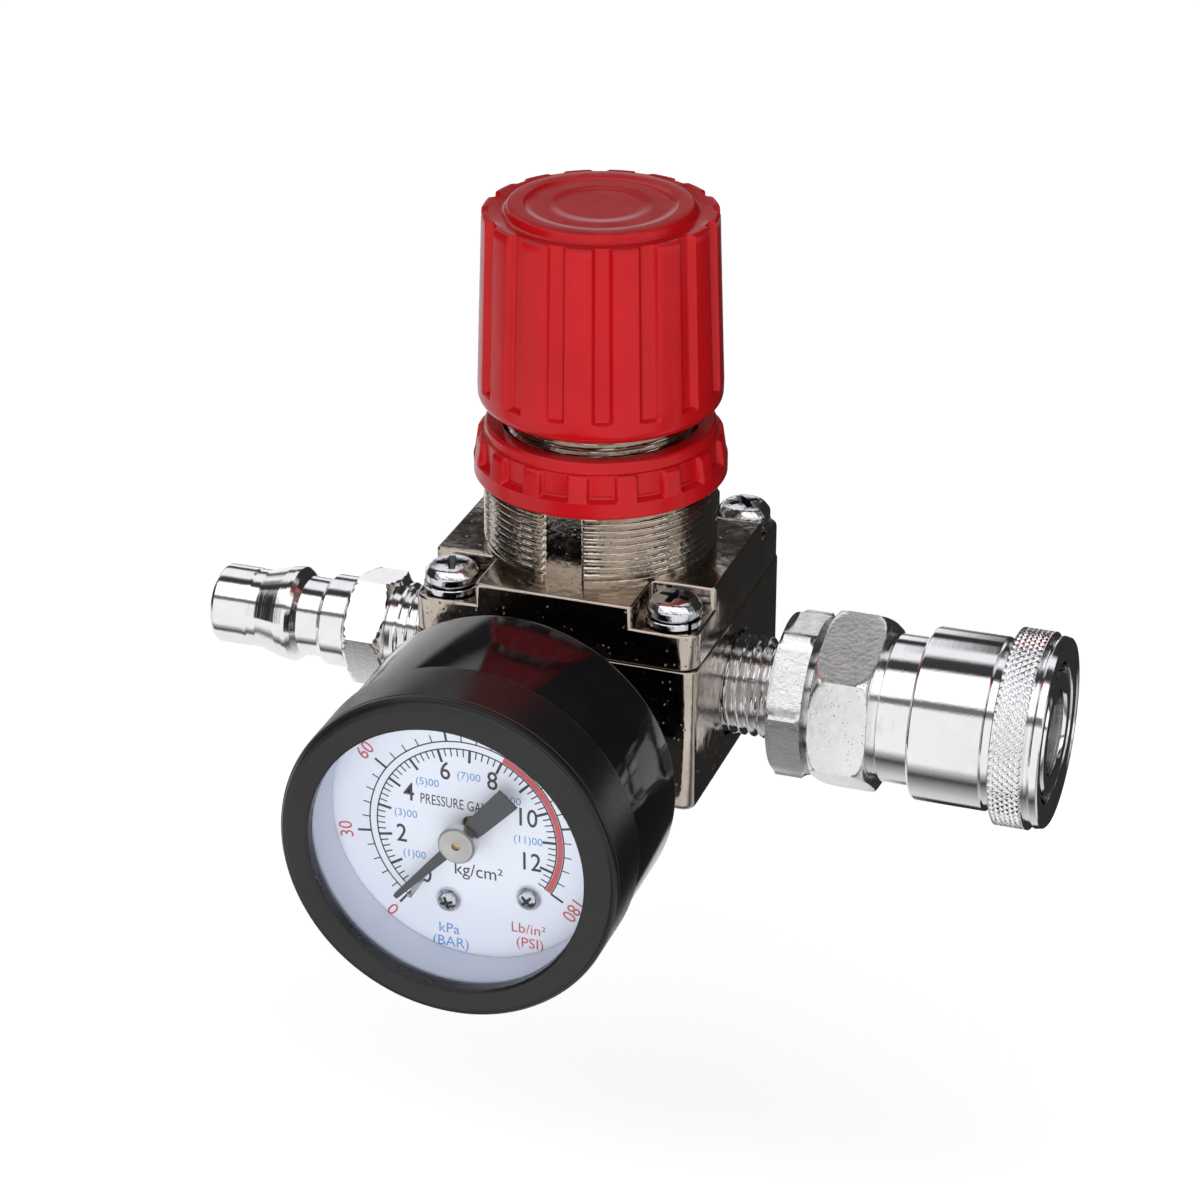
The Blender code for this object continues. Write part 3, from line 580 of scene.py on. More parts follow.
def hex_warp(af, low, high, turn, crown):
    """Between the two heights the outside is cut to a hexagon; its corners are turned down only where the profile
    itself is.
    """
    def warp(T, R, H):
        side = hex_radius(af, T, turn)
        inside = (H >= low - 1e-6) & (H <= high + 1e-6)
        cone = R
        return np.where(inside, np.minimum(side, cone), R), H
    return warp


def prism_data(name, outline, low, high):
    bm = bmesh.new()
    add_prism(bm, outline, low, high)
    data = bpy.data.meshes.new(name)
    bm.to_mesh(data)
    bm.free()
    return data


def add_prism(bm, outline, low, high):
    face = bm.faces.new([bm.verts.new((x * MM, y * MM, low * MM)) for x, y in outline])
    made = bmesh.ops.extrude_face_region(bm, geom=[face])
    up = [v for v in made["geom"] if isinstance(v, bmesh.types.BMVert)]
    bmesh.ops.translate(bm, verts=up, vec=(0, 0, (high - low) * MM))


def inset(outline, d):
    """The outline moved inwards by d, corner by corner; the outline runs anticlockwise."""
    p = np.array(outline, float)
    a, b = np.roll(p, 1, 0), np.roll(p, -1, 0)
    e1, e2 = p - a, b - p
    e1 /= np.linalg.norm(e1, axis=1)[:, None]
    e2 /= np.linalg.norm(e2, axis=1)[:, None]
    n1 = np.stack([-e1[:, 1], e1[:, 0]], 1)
    n2 = np.stack([-e2[:, 1], e2[:, 0]], 1)
    m = n1 + n2
    m /= np.maximum(np.sum(m * n1, 1), 0.3)[:, None] * 1.0
    return p + m * d / 1.0 * 1.0


def slab_data(name, outline, low, high, top_r=0.3, low_r=0.3, steps=4):
    """A plate of this outline whose top and bottom edges are rounded."""
    rows = []
    for k in range(steps + 1):
        t = math.pi / 2 * k / steps
        rows.append((low_r * (1 - math.sin(t)), low + low_r * (1 - math.cos(t))))
    for k in range(steps + 1):
        t = math.pi / 2 * k / steps
        rows.append((top_r * (1 - math.cos(t)), high - top_r * (1 - math.sin(t))))
    verts, faces = [], []
    n = len(outline)
    for d, h in rows:
        pts = inset(outline, d) if d > 1e-9 else np.array(outline, float)
        verts.extend([(x * MM, y * MM, h * MM) for x, y in pts])
    for i in range(len(rows) - 1):
        for k in range(n):
            l = (k + 1) % n
            faces.append((i * n + k, i * n + l, (i + 1) * n + l, (i + 1) * n + k))
    faces.append(tuple(reversed(range(n))))
    faces.append(tuple(range((len(rows) - 1) * n, len(rows) * n)))
    data = bpy.data.meshes.new(name)
    data.from_pydata(verts, [], faces)
    data.update()
    return data


def temp(name, data, place=Matrix.Identity(4)):
    obj = bpy.data.objects.new(name, data)
    scene.collection.objects.link(obj)
    obj.matrix_world = place
    return obj


def boolean(base, tools, operation="DIFFERENCE"):
    """Applies the tools to base one after the other and leaves only the finished mesh."""
    for tool in tools:
        mod = base.modifiers.new("b", "BOOLEAN")
        mod.operation = operation
        mod.solver = "EXACT"
        mod.object = tool
    dg = bpy.context.evaluated_depsgraph_get()
    dg.update()
    data = bpy.data.meshes.new_from_object(base.evaluated_get(dg))
    base.modifiers.clear()
    for tool in tools:
        bpy.data.objects.remove(tool, do_unlink=True)
    return data


def rods_data(name, rods, steps=64):
    bm = bmesh.new()
    for x, y, r, low, high in rods:
        bmesh.ops.create_cone(bm, cap_ends=True, segments=steps, radius1=r * MM, radius2=r * MM, depth=(high - low) * MM,
                              matrix=Matrix.Translation(Vector((x, y, (low + high) / 2)) * MM))
    data = bpy.data.meshes.new(name)
    bm.to_mesh(data)
    bm.free()
    return data


ALONG_Z = Matrix.Identity(4)
ALONG_X = Matrix.Rotation(math.radians(90), 4, "Y")
ALONG_FRONT = Matrix.Rotation(math.radians(90), 4, "X")
gb_lo, gb_hi = span("gauge_bezel")
GX, GZ = (gb_lo[0] + gb_hi[0]) / 2, (gb_lo[2] + gb_hi[2]) / 2
GAUGE = Matrix.Translation(Vector((GX, 0, GZ)) * MM) @ ALONG_FRONT
ss_lo, ss_hi = span("socket_sleeve")
PZ = (ss_lo[2] + ss_hi[2]) / 2
PORTS = Matrix.Translation(Vector((0, 0, PZ)) * MM) @ ALONG_X
MAIN = "regulator"

# ------------------------------------------------------------------ knob
k_lo, k_hi = span("knob")
r_lo, r_hi = span("lock_ring")
FLUTE = math.radians(-70.4)
TEETH = 16


def flute_mask(T, half_deg, edge_deg):
    """1 in the middle of each flute, 0 on the ribs."""
    a = np.abs(((T - FLUTE) / TAU * TEETH + 0.5) % 1.0 - 0.5) * 360 / TEETH
    return 1 - smooth((a - half_deg + edge_deg) / (2 * edge_deg))


def knob_warp(T, R, H):
    outer = (R > 13.0)
    m = flute_mask(T, 4.15, 0.85) * smooth((H - 21.9) / 0.25)
    taper = (H - 22.6) / (44.0 - 22.6)
    floor_r = 14.75 - 0.82 * taper
    sunk = np.where(outer & (H > 21.5), np.minimum(R, R * (1 - m) + np.minimum(R, floor_r) * m), R)
    return sunk, H


low = k_lo[2]
outer = fillet([
    (0, 45.05), (5.7, 45.05), (6.0, 45.12), (9.3, 45.12), (9.6, 45.3, 0.2), (11.65, 45.3, 0.35), (11.95, 44.42, 0.25), (12.3, 44.28, 0.3),
    (14.83, 44.5, 0.45), (15.6, 22.4, 6.0), (15.55, 20.2, 2.5), (14.95, low, 0.35), (13.6, low, 0.3), (12.95, 20.0, 0.3), (12.95, 41.3),
    (6.2, 41.3), (6.2, 25.0), (3.8, 25.0), (3.8, 40.8), (0, 40.8)], 0.0, 5)
outer = dense(outer, 0.9)
extra = []
for a, b in zip(outer, outer[1:]):
    extra.append(a)
    if a[0] > 15 and a[1] > 21.6 > b[1] - 1.2 and b[1] < 22.8:
        for k in range(1, 6):
            extra.append((a[0] + (b[0] - a[0]) * k / 6, a[1] + (b[1] - a[1]) * k / 6))
extra.append(outer[-1])
lathe("knob_cap", extra, RED, ALONG_Z, "knob", "knob", seg=TEETH * 30, warp=knob_warp, sharp=50)


# ------------------------------------------------------------------ lock ring
def ring_warp(T, R, H):
    m = flute_mask(T, 6.45, 0.6) * smooth((H - 11.75) / 0.25)
    return np.where((R > 14.9) & (H > 11.5), np.minimum(R, R * (1 - m) + np.minimum(R, 15.15) * m), R), H


z0 = r_lo[2]
rows = fillet([
    (15.35, z0), (15.95, z0, 0.25), (16.2, z0 + 0.3, 0.3), (16.2, 11.7, 0.15), (16.12, 12.2, 0.2), (15.75, 14.7, 0.5), (15.35, 15.1, 0.3),
    (14.80, 15.15, 0.12), (14.75, r_hi[2] - 0.3, 0.2), (14.45, r_hi[2], 0.25), (12.75, r_hi[2], 0.15), (12.6, r_hi[2] - 0.25, 0.1), (12.6, 15.3), (13.5, 15.3), (13.5, 12.35), (15.35, 12.35)],
    0.0, 4, ring=True)
rows = dense(rows + [rows[0]], 0.35, 9.4, 15.4)[:-1]
lathe("lock_ring_red", rows, RED, ALONG_Z, "lock_ring", "lock_ring", seg=TEETH * 30, ring=True, warp=ring_warp, sharp=50)

# ------------------------------------------------------------------ bonnet
b_lo, b_hi = span("bonnet")
HALF = b_hi[0]
NOTCH = 10.4


def rounded_outline(points, steps=6):
    return fillet(points, 0.0, steps, ring=True)


def signed(points):
    p = np.array(points)
    x, y = p[:, 0], p[:, 1]
    return 0.5 * np.sum(x * np.roll(y, -1) - np.roll(x, -1) * y)


square = rounded_outline([(HALF, -HALF, 2.4), (HALF, HALF, 2.4), (-HALF, HALF, 2.4), (-HALF, -HALF, 2.4)])
n_, h_, i_, o_ = NOTCH, HALF, 0.9, 0.7
cross = rounded_outline([
    (n_, -h_, o_), (n_, -n_, i_), (h_, -n_, o_), (h_, n_, o_), (n_, n_, i_), (n_, h_, o_), (-n_, h_, o_), (-n_, n_, i_), (-h_, n_, o_),
    (-h_, -n_, o_), (-n_, -n_, i_), (-n_, -h_, o_)])
cross = [q for q in cross]
lower = temp("lower", slab_data("lower", square, b_lo[2], -3.0, 0.35, 0.25))
upper = temp("upper", slab_data("upper", cross, -5.5, 0.0, 0.35, 0.1))

NECK_R, STEM_R = 15.0, 12.1
key_half = math.asin(2.65 / 15.0)
thetas = set(np.arange(0, 360, 1.25).tolist())
for s_ in (-1, 1):
    for d_ in (-1.6, -1.1, -0.7, -0.35, -0.1, 0.1, 0.35, 0.7, 1.1, 1.6):
        thetas.add((270 + s_ * math.degrees(key_half) + d_) % 360)
thetas = np.radians(sorted(thetas))
neck_thread = thread_warp(1.0, 0.56, 0.5, 11.7, flat=0.14, fade=0.25)
stem_thread = thread_warp(1.0, 0.50, 12.4, 22.4, flat=0.14, fade=0.25)


def neck_warp(T, R, H):
    a, _ = neck_thread(T, R, H)
    b, _ = stem_thread(T, R, H)
    out = np.where((R > 13.5) & (H < 12.0), a, np.where((R > 11.0) & (R < 13.0) & (H > 12.0), b, R))
    off = np.abs((T - 1.5 * math.pi + math.pi) % TAU - math.pi)
    inside = 1 - smooth((off - key_half + 0.016) / 0.032)
    flat = 14.05 / np.maximum(np.cos(off), 0.9)
    keyed = np.minimum(out, out * (1 - inside) + np.minimum(out, flat) * inside)
    return np.where((R > 13.2) & (H < 12.3), keyed, out), H


rows = [(0, -5.0), (NECK_R, -5.0), (NECK_R, 0.0)]
rows += [(NECK_R, z) for z in np.arange(0.1, 11.41, 0.1)]
rows += [(NECK_R - 0.3, 11.75), (NECK_R - 0.6, 12.0), (STEM_R, 12.0)]
rows += [(STEM_R, z) for z in np.arange(12.1, 21.41, 0.1)]
rows += [(STEM_R - 0.3, 21.8), (STEM_R - 0.6, 22.0), (0, 22.0)]
neck = temp("neck", lathe_data("neck", rows, warp=neck_warp, turns=thetas))
fil = [(NECK_R + 0.02 + 0.5 * (1 - math.sin(t)), -0.02 + 0.5 * (1 - math.cos(t))) for t in np.linspace(0, math.pi / 2, 5)]
for o in (lower, upper, neck):
    bpy.context.view_layer.update()
bonnet_mesh = boolean(lower, [upper, neck], "UNION")
lower.data = bonnet_mesh
core = temp("core", lathe_data("core", [(0, -9.0), (9.6, -9.0), (9.6, 16.0), (3.85, 16.0), (3.85, 23.0), (0, 23.0)], 96))
holes = temp("holes", rods_data("holes", [(sx * 14.8, sy * 14.8, 2.3, -9.0, -2.0) for sx in (-1, 1) for sy in (-1, 1)], 40))
bonnet_mesh = boolean(lower, [core, holes])
bpy.data.objects.remove(lower, do_unlink=True)
bonnet = wrap("bonnet_casting", bonnet_mesh, NICKEL, ALONG_Z, MAIN, "bonnet", 32)
bonnet.data.materials.append(NICKEL_THREAD)
for poly in bonnet.data.polygons:
    c = poly.center / MM
    if c.z > 0.15 and math.hypot(c.x, c.y) > 11.0:
        poly.material_index = 1

# ------------------------------------------------------------------ body
bd_lo, bd_hi = span("body")
bh = bd_hi[0]
outline = rounded_outline([(bh, -bh, 1.7), (bh, bh, 1.7), (-bh, bh, 1.7), (-bh, -bh, 1.7)])
base = temp("base", slab_data("base", outline, bd_lo[2], bd_hi[2], 0.2, 1.0, 5))
tools = [
    temp("t1", lathe_data("t1", [(0, -7.0), (16.3, -7.0), (16.3, -9.0), (12.5, -9.0), (12.5, -11.0), (2.2, -11.0), (2.2, -14.5), (5.0, -14.5),
                                 (5.0, -23.4), (6.5, -23.4), (6.5, -27.4), (6.9, -27.8), (6.9, -29.0), (0, -29.0)], 72)),
    temp("t2", lathe_data("t2", [(0, -20.0), (7.3, -20.0), (7.3, -18.75), (6.85, -18.3), (6.85, -9.0), (3.0, -9.0), (3.0, -3.0), (0, -3.0)], 64), PORTS),
    temp("t3", lathe_data("t3", [(0, 9.0), (6.85, 9.0), (6.85, 18.3), (7.3, 18.75), (7.3, 20.0), (0, 20.0)], 64), PORTS),
    temp("t4", lathe_data("t4", [(0, 10.9), (5.0, 10.9), (5.0, 20.0), (0, 20.0)], 48), GAUGE),
    temp("t5", lathe_data("t5", [(0, -20.0), (5.3, -20.0), (5.3, -18.75), (5.0, -18.4), (5.0, -10.9), (0, -10.9)], 48),
         Matrix.Translation(Vector((0, 0, GZ)) * MM) @ ALONG_FRONT),
    temp("t6", rods_data("t6", [(sx * 14.8, sy * 14.8, 2.3, -17.0, -7.0) for sx in (-1, 1) for sy in (-1, 1)], 32)),
]
bpy.context.view_layer.update()
body_mesh = boolean(base, tools)
bpy.data.objects.remove(base, do_unlink=True)
wrap("body_casting", body_mesh, NICKEL, ALONG_Z, MAIN, "body", 32)


# ------------------------------------------------------------------ bonnet screws and spring washers
def cross_recess(name, reach, width, low, high, at, turn, place):
    """A cross recess that narrows towards its bottom."""
    w, e = width / 2, reach
    outline = [(w, w), (e, w * 0.8), (e, -w * 0.8), (w, -w), (w * 0.8, -e), (-w * 0.8, -e), (-w, -w), (-e, -w * 0.8), (-e, w * 0.8), (-w, w),
               (-w * 0.8, e), (w * 0.8, e)]
    bm = bmesh.new()
    ca, sa = math.cos(turn), math.sin(turn)
    loops = []
    for h, k in ((low, 0.42), (high, 1.0)):
        loops.append([bm.verts.new(((at[0] + (x * ca - y * sa) * k) * MM, (at[1] + (x * sa + y * ca) * k) * MM, h * MM)) for x, y in outline])
    n = len(outline)
    for i in range(n):
        j = (i + 1) % n
        bm.faces.new((loops[0][i], loops[0][j], loops[1][j], loops[1][i]))
    bm.faces.new(list(reversed(loops[0])))
    bm.faces.new(loops[1])
    bmesh.ops.recalc_face_normals(bm, faces=bm.faces[:])
    data = bpy.data.meshes.new(name)
    bm.to_mesh(data)
    bm.free()
    return temp(name, data, place)


def darken(obj, below, above, reach):
    """The walls and floor of a recess get a darker metal: painted shade in the recess."""
    obj.data.materials.append(RECESS_PAINTED_SHADE)
    for poly in obj.data.polygons:
        c = poly.center
        if above < c.z < below and math.hypot(c.x, c.y) < reach:
            poly.material_index = 1


number = 0
for sx in (-1, 1):
    for sy in (-1, 1):
        number += 1
        at = Matrix.Translation(Vector((sx * 14.8, sy * 14.8, 0)) * MM)
        s_lo, s_hi = span(f"bonnet_screw_{number}")
        top = s_hi[2]
        prof = fillet([
            (0, -15.8), (1.6, -15.8), (2.0, -15.3), (2.0, -1.75), (3.25, -1.75, 0.15), (3.45, -1.45, 0.3), (3.45, -0.55, 0.7), (2.75, top - 0.22, 1.2),
            (1.4, top - 0.02, 1.5), (0, top)], 0.0, 5)
        head = temp("head", lathe_data("head", prof, 72), at)
        turn = math.radians((20, 65, -10, 40)[number - 1])
        cutter = cross_recess("recess", 2.25, 1.15, top - 1.7, top + 0.25, (0, 0), turn, at)
        bpy.context.view_layer.update()
        data = boolean(head, [cutter])
        bpy.data.objects.remove(head, do_unlink=True)
        bm = bmesh.new()
        bm.from_mesh(data)
        bmesh.ops.remove_doubles(bm, verts=bm.verts[:], dist=1e-7)
        bm.to_mesh(data)
        bm.free()
        obj = wrap(f"screw_{number}", data, ZINC, at, MAIN, f"bonnet_screw_{number}", 28)
        # Painted shade: the cross recess of the bonnet screw head gets the dark recess metal.
        darken(obj, (top - 0.22) * MM, (top - 1.8) * MM, 2.3 * MM)
        # split spring washer: a strip wound almost once, its ends a little apart in height
        verts, faces = [], []
        n = 90
        cut = math.radians((200, 250, 320, 290)[number - 1])
        for k in range(n + 1):
            t = cut + math.radians(4) + (TAU - math.radians(8)) * k / n
            lift = -0.12 + 0.24 * k / n
            for r, h in ((2.35, -2.78), (2.42, -2.85 + 0.08), (3.5, -2.78), (3.6, -2.70), (3.6, -2.02), (3.5, -1.94), (2.42, -1.94), (2.35, -2.0)):
                hh = min(max(h + lift * 0.5, -2.88), -1.82)
                verts.append((r * math.cos(t) * MM, r * math.sin(t) * MM, hh * MM))
        for k in range(n):
            for j in range(8):
                a, b = k * 8 + j, k * 8 + (j + 1) % 8
                faces.append((a, b, b + 8, a + 8))
        faces.append(tuple(range(8))[::-1])
        faces.append(tuple(range(n * 8, n * 8 + 8)))
        put(f"washer_{number}", verts, faces, ZINC, at, MAIN, f"spring_washer_{number}", 30)

# ------------------------------------------------------------------ gauge
lathe("gauge_case_shell", fillet([
    (3.6, 27.4), (20.2, 27.4, 0.5), (21.1, 28.3, 0.9), (21.1, 43.2, 0.15), (20.6, 43.2), (20.6, 48.6), (19.6, 48.6), (19.6, 28.6), (3.6, 28.6)],
    0.0, 5, ring=True), ENAMEL, GAUGE, MAIN, "gauge_case", seg=220, ring=True)
lathe("gauge_bezel_ring", fillet([
    (20.9, 43.4), (21.35, 43.4, 0.1), (21.5, 43.75, 0.2), (21.5, 51.0, 0.1), (21.42, 51.1, 0.05), (21.42, 51.25, 0.05), (21.5, 51.35, 0.05), (21.5, 51.7, 0.5),
    (21.33, 52.15, 0.1), (21.22, 52.2, 0.05), (21.15, 52.35, 0.05), (20.9, 52.75, 0.4), (20.2, 53.0, 0.5), (17.95, 53.0, 0.3), (17.6, 52.75, 0.25), (17.6, 51.3),
    (20.9, 51.3)], 0.0, 5, ring=True), BEZEL, GAUGE, MAIN, "gauge_bezel", seg=240, ring=True, sharp=60)
lathe("gauge_lens_disc", fillet([(0, 49.7), (20.6, 49.7, 0.1), (20.6, 51.15, 0.1), (0, 51.15)], 0.0, 3), GLASS, GAUGE, MAIN, "gauge_lens", seg=200)
DIAL_H = (lambda b: -b[0][1])(span("gauge_dial"))
lathe("lens_spacer_ring", fillet([(18.3, DIAL_H + 0.15), (19.3, DIAL_H + 0.15), (19.3, 49.5), (18.45, 49.5, 0.1), (18.3, 49.3, 0.1)], 0.0, 3, ring=True),
      SPACER, GAUGE, MAIN, "lens_spacer", seg=200, ring=True)
lathe("gauge_stem_fitting", fillet([
    (0, 33.0), (1.3, 33.0), (1.3, 11.2), (4.4, 11.2), (4.75, 11.7), (4.75, 19.0), (6.9, 19.05, 0.2), (7.3, 20.2), (7.3, 25.4), (6.9, 26.6, 0.2),
    (3.2, 26.6), (3.2, 28.85), (6.0, 28.85), (6.0, 38.4), (0, 38.4)], 0.0, 4), CHROME_SATIN, GAUGE, MAIN, "gauge_stem", seg=144,
    warp=hex_warp(12.0, 19.04, 26.59, 0.0, 1.0))

dial_screws = [(11.4 * math.cos(math.radians(a)), 11.4 * math.sin(math.radians(a))) for a in (254, 310)]
dial = temp("dial", lathe_data("dial", fillet([(1.3, DIAL_H - 0.5), (19.2, DIAL_H - 0.5), (19.2, DIAL_H, 0.1), (1.3, DIAL_H, 0.05)], 0.0, 3, ring=True), 160, ring=True), GAUGE)
holes = temp("holes", rods_data("holes", [(x, y, 1.1, DIAL_H - 1.2, DIAL_H + 0.8) for x, y in dial_screws], 32), GAUGE)
bpy.context.view_layer.update()
data = boolean(dial, [holes])
bpy.data.objects.remove(dial, do_unlink=True)
wrap("dial_plate", data, DIAL, GAUGE, MAIN, "gauge_dial", 30)

INK = 0.02
black, blue, red = bmesh.new(), bmesh.new(), bmesh.new()


def polar(r, deg):
    return (r * math.cos(math.radians(deg)), r * math.sin(math.radians(deg)))


def tick(bm, deg, r0, r1, width):
    c, s = math.cos(math.radians(deg)), math.sin(math.radians(deg))
    w = width / 2
    pts = [(r0, -w), (r1, -w), (r1, w), (r0, w)]
    add_prism(bm, [(x * c - y * s, x * s + y * c) for x, y in pts], DIAL_H + 0.005, DIAL_H + INK)


def arc(bm, r0, r1, a0, a1, lift=0.0):
    n = max(8, int(abs(a1 - a0) / 2))
    angles = [a0 + (a1 - a0) * k / n for k in range(n + 1)]
    pts = [polar(r1, a) for a in angles] + [polar(r0, a) for a in reversed(angles)]
    add_prism(bm, pts, DIAL_H + 0.005, DIAL_H + INK + lift)


def letters(bm, words, size, x, y, turn=0.0, squeeze=1.0, bold=0.0):
    data = bpy.data.curves.new("words", "FONT")
    data.body = words
    data.size = size
    data.align_x = "CENTER"
    data.align_y = "CENTER"
    data.resolution_u = 3
    data.offset = bold
    obj = bpy.data.objects.new("words", data)
    scene.collection.objects.link(obj)
    dg = bpy.context.evaluated_depsgraph_get()
    flat = bpy.data.meshes.new_from_object(obj.evaluated_get(dg))
    bpy.data.objects.remove(obj, do_unlink=True)
    piece = bmesh.new()
    piece.from_mesh(flat)
    bpy.data.meshes.remove(flat)
    made = bmesh.ops.extrude_face_region(piece, geom=piece.faces[:])
    up = [v for v in made["geom"] if isinstance(v, bmesh.types.BMVert)]
    bmesh.ops.translate(piece, verts=up, vec=(0, 0, INK - 0.005))
    c, s = math.cos(math.radians(turn)), math.sin(math.radians(turn))
    for v in piece.verts:
        px, py = v.co.x * squeeze, v.co.y
        v.co = Vector((x + px * c - py * s, y + px * s + py * c, DIAL_H + 0.005 + v.co.z)) * MM
    mesh = bpy.data.meshes.new("t")
    piece.to_mesh(mesh)
    piece.free()
    bm.from_mesh(mesh)
    bpy.data.meshes.remove(mesh)


def bar_angle(k):
    return 86.8 - (k - 7) * 20.7


PSI = 14.2233
LAST = bar_angle(180 / PSI)
arc(black, 11.55, 11.72, bar_angle(0), LAST)
arc(black, 12.52, 12.69, bar_angle(0), LAST)
arc(red, 11.76, 12.48, bar_angle(8), LAST)
k = 0.0
while k < 12.61:
    whole = abs(k - round(k)) < 1e-6
    tick(black, bar_angle(k), 9.9 if whole else 10.6, 11.6, 0.34 if whole else 0.16)
    k = round(k + 0.2, 3)
for i in range(0, 31):
    psi = i * 6
    major = i % 5 == 0
    tick(black, bar_angle(psi / PSI), 12.6, 14.4 if major else 13.6, 0.30 if major else 0.15)
for k in (0, 2, 4, 6, 8, 10, 12):
    x, y = polar(8.6, bar_angle(k))
    letters(black, str(k), 3.5, x, y, 0.0, 0.85, 0.02)
for k in (1, 3, 5, 7, 9, 11):
    x, y = polar(8.0, bar_angle(k))
    letters(blue, f"({k})00", 1.45, x, y)
for psi in (0, 30, 60, 90, 120, 150, 180):
    a = bar_angle(psi / PSI)
    x, y = polar(15.9, a)
    letters(red, str(psi), 2.6, x, y, a - 90, 0.9)
letters(black, "PRESSURE GAUGE", 2.0, -0.7, 3.9, 0.0, 0.66)
letters(black, "kg/cm²", 2.5, 1.5, -5.1, 0.0, 0.95)
letters(blue, "kPa", 2.0, -2.5, -13.9)
letters(blue, "(BAR)", 2.0, -2.3, -15.8)
letters(red, "Lb/in²", 2.0, 7.9, -12.0)
letters(red, "(PSI)", 2.0, 8.1, -14.0)
for nm, bm, mat in (("print_black", black, INK_BLACK), ("print_blue", blue, INK_BLUE), ("print_red", red, INK_RED)):
    bmesh.ops.translate(bm, verts=bm.verts, vec=Vector((-0.75, -1.35, 0)) * MM)
    data = bpy.data.meshes.new(nm)
    bm.to_mesh(data)
    bm.free()
    obj = wrap(nm, data, mat, GAUGE, MAIN, (), 30)

# pointer, hub, stop pin and dial screws
POINT = math.radians(227.6)
ca, sa = math.cos(POINT), math.sin(POINT)
hub = [math.radians(a) for a in range(30, 151, 10)]
blade = ([(13.0, 0.26), (12.6, 0.36), (1.75, 0.75)] + [(1.9 * math.cos(a), 1.9 * math.sin(a)) for a in hub] + [(-1.75, 1.15), (-3.2, 1.3), (-9.2, 1.52)]
         + [(-9.2, -1.52), (-3.2, -1.3), (-1.75, -1.15)] + [(-1.9 * math.cos(a), -1.9 * math.sin(a)) for a in hub] + [(1.75, -0.75), (12.6, -0.36), (13.0, -0.26)])
pts = [(x * ca - y * sa, x * sa + y * ca) for x, y in blade]
if signed(pts) < 0:
    pts = pts[::-1]
wrap("pointer_blade", slab_data("pointer_blade", pts, 47.0, 47.4, 0.08, 0.05, 3), POINTER, GAUGE, "pointer", "pointer", 30)
lathe("hub_cap", fillet([(0, 48.55), (0.5, 48.55), (0.5, 48.98, 0.04), (2.15, 49.0, 0.25), (2.4, 48.7, 0.2), (2.4, 47.55), (0, 47.55)], 0.0, 4), HUB, GAUGE,
      "pointer", "pointer_hub", seg=96)
lathe("hub_pin", fillet([(0, 48.5), (0.46, 48.5), (0.46, 48.72, 0.06), (0.25, 48.74), (0.18, 48.6), (0, 48.6)], 0.0, 2), BRASS, GAUGE, "pointer", (), seg=40)
stop = math.radians(232.6)
lathe("stop_pin_round", fillet([(0, DIAL_H + 0.1), (0.35, DIAL_H + 0.1), (0.35, 47.95, 0.2), (0.2, 48.15, 0.15), (0, 48.15)], 0.0, 4), STEEL,
      GAUGE @ Matrix.Translation(Vector((10.8 * math.cos(stop), 10.8 * math.sin(stop), 0)) * MM), MAIN, "stop_pin", seg=32)
for i, (x, y) in enumerate(dial_screws):
    at = GAUGE @ Matrix.Translation(Vector((x, y, 0)) * MM)
    head = temp("head", lathe_data("head", fillet([
        (0, DIAL_H - 2.1), (0.75, DIAL_H - 2.1), (0.75, DIAL_H + 0.08), (1.6, DIAL_H + 0.08, 0.08), (1.65, DIAL_H + 0.4, 0.3), (1.2, DIAL_H + 0.95, 0.5), (0.5, DIAL_H + 1.13, 0.5), (0, DIAL_H + 1.15)], 0.0, 4), 48), at)
    cutter = cross_recess("recess", 1.05, 0.5, DIAL_H + 0.5, DIAL_H + 1.3, (0, 0), 0.3 + 0.5 * i, at)
    bpy.context.view_layer.update()
    data = boolean(head, [cutter])
    bpy.data.objects.remove(head, do_unlink=True)
    obj = wrap(f"dial_screw_head_{i + 1}", data, ZINC, at, MAIN, f"dial_screw_{i + 1}", 28)
    # Painted shade: the cross recess of the dial screw head gets the dark recess metal.
    darken(obj, (DIAL_H + 0.95) * MM, DIAL_H * MM, 1.1 * MM)

# ------------------------------------------------------------------ inlet plug
HEX_P, HEX_N, HEX_S = math.radians(0), math.radians(0), math.radians(0)
prof = fillet([
    (3.75, -53.8, 0.1), (5.0, -53.8, 0.3), (5.35, -53.35, 0.4), (5.35, -49.0, 0.1), (5.25, -48.6, 0.1), (5.35, -47.2, 2.0), (6.25, -44.1, 1.5), (6.4, -43.0, 0.3), (6.4, -42.5, 0.15),
    (6.0, -41.9, 0.2), (5.35, -41.2, 0.15), (5.3, -38.2, 0.15), (6.0, -37.75, 0.2), (6.15, -37.5, 0.2), (6.15, -34.3, 0.2), (5.6, -34.0, 0.1), (5.6, -33.8, 0.05),
    (6.9, -33.8, 0.15), (8.2, -33.05), (8.2, -29.05), (6.9, -28.3, 0.15), (6.0, -28.3), (5.75, -27.6), (6.55, -27.0, 0.1)], 0.0, 4)
prof = dense(prof, 0.5)
prof += [(6.55, -27.0 + 0.12 * k) for k in range(1, 120)]
prof += [(6.2, -12.5), (3.0, -12.5), (3.0, -30.0), (3.75, -30.0)]
hexw = hex_warp(14.0, -33.79, -28.31, HEX_P, 1.0)
thw = thread_warp(1.337, 0.80, -26.9, -12.6)


def plug_warp(T, R, H):
    R1, _ = hexw(T, R, H)
    R2, _ = thw(T, R, H)
    return np.where((H > -27.05) & (R > 5.0), R2, np.where((R > 5.0), R1, R)), H


plug = lathe("plug_turned", prof, CHROME, PORTS @ Matrix.Rotation(math.radians(-11.0), 4, "Z"), MAIN, "inlet_plug", seg=180, ring=True, warp=plug_warp, sharp=35)

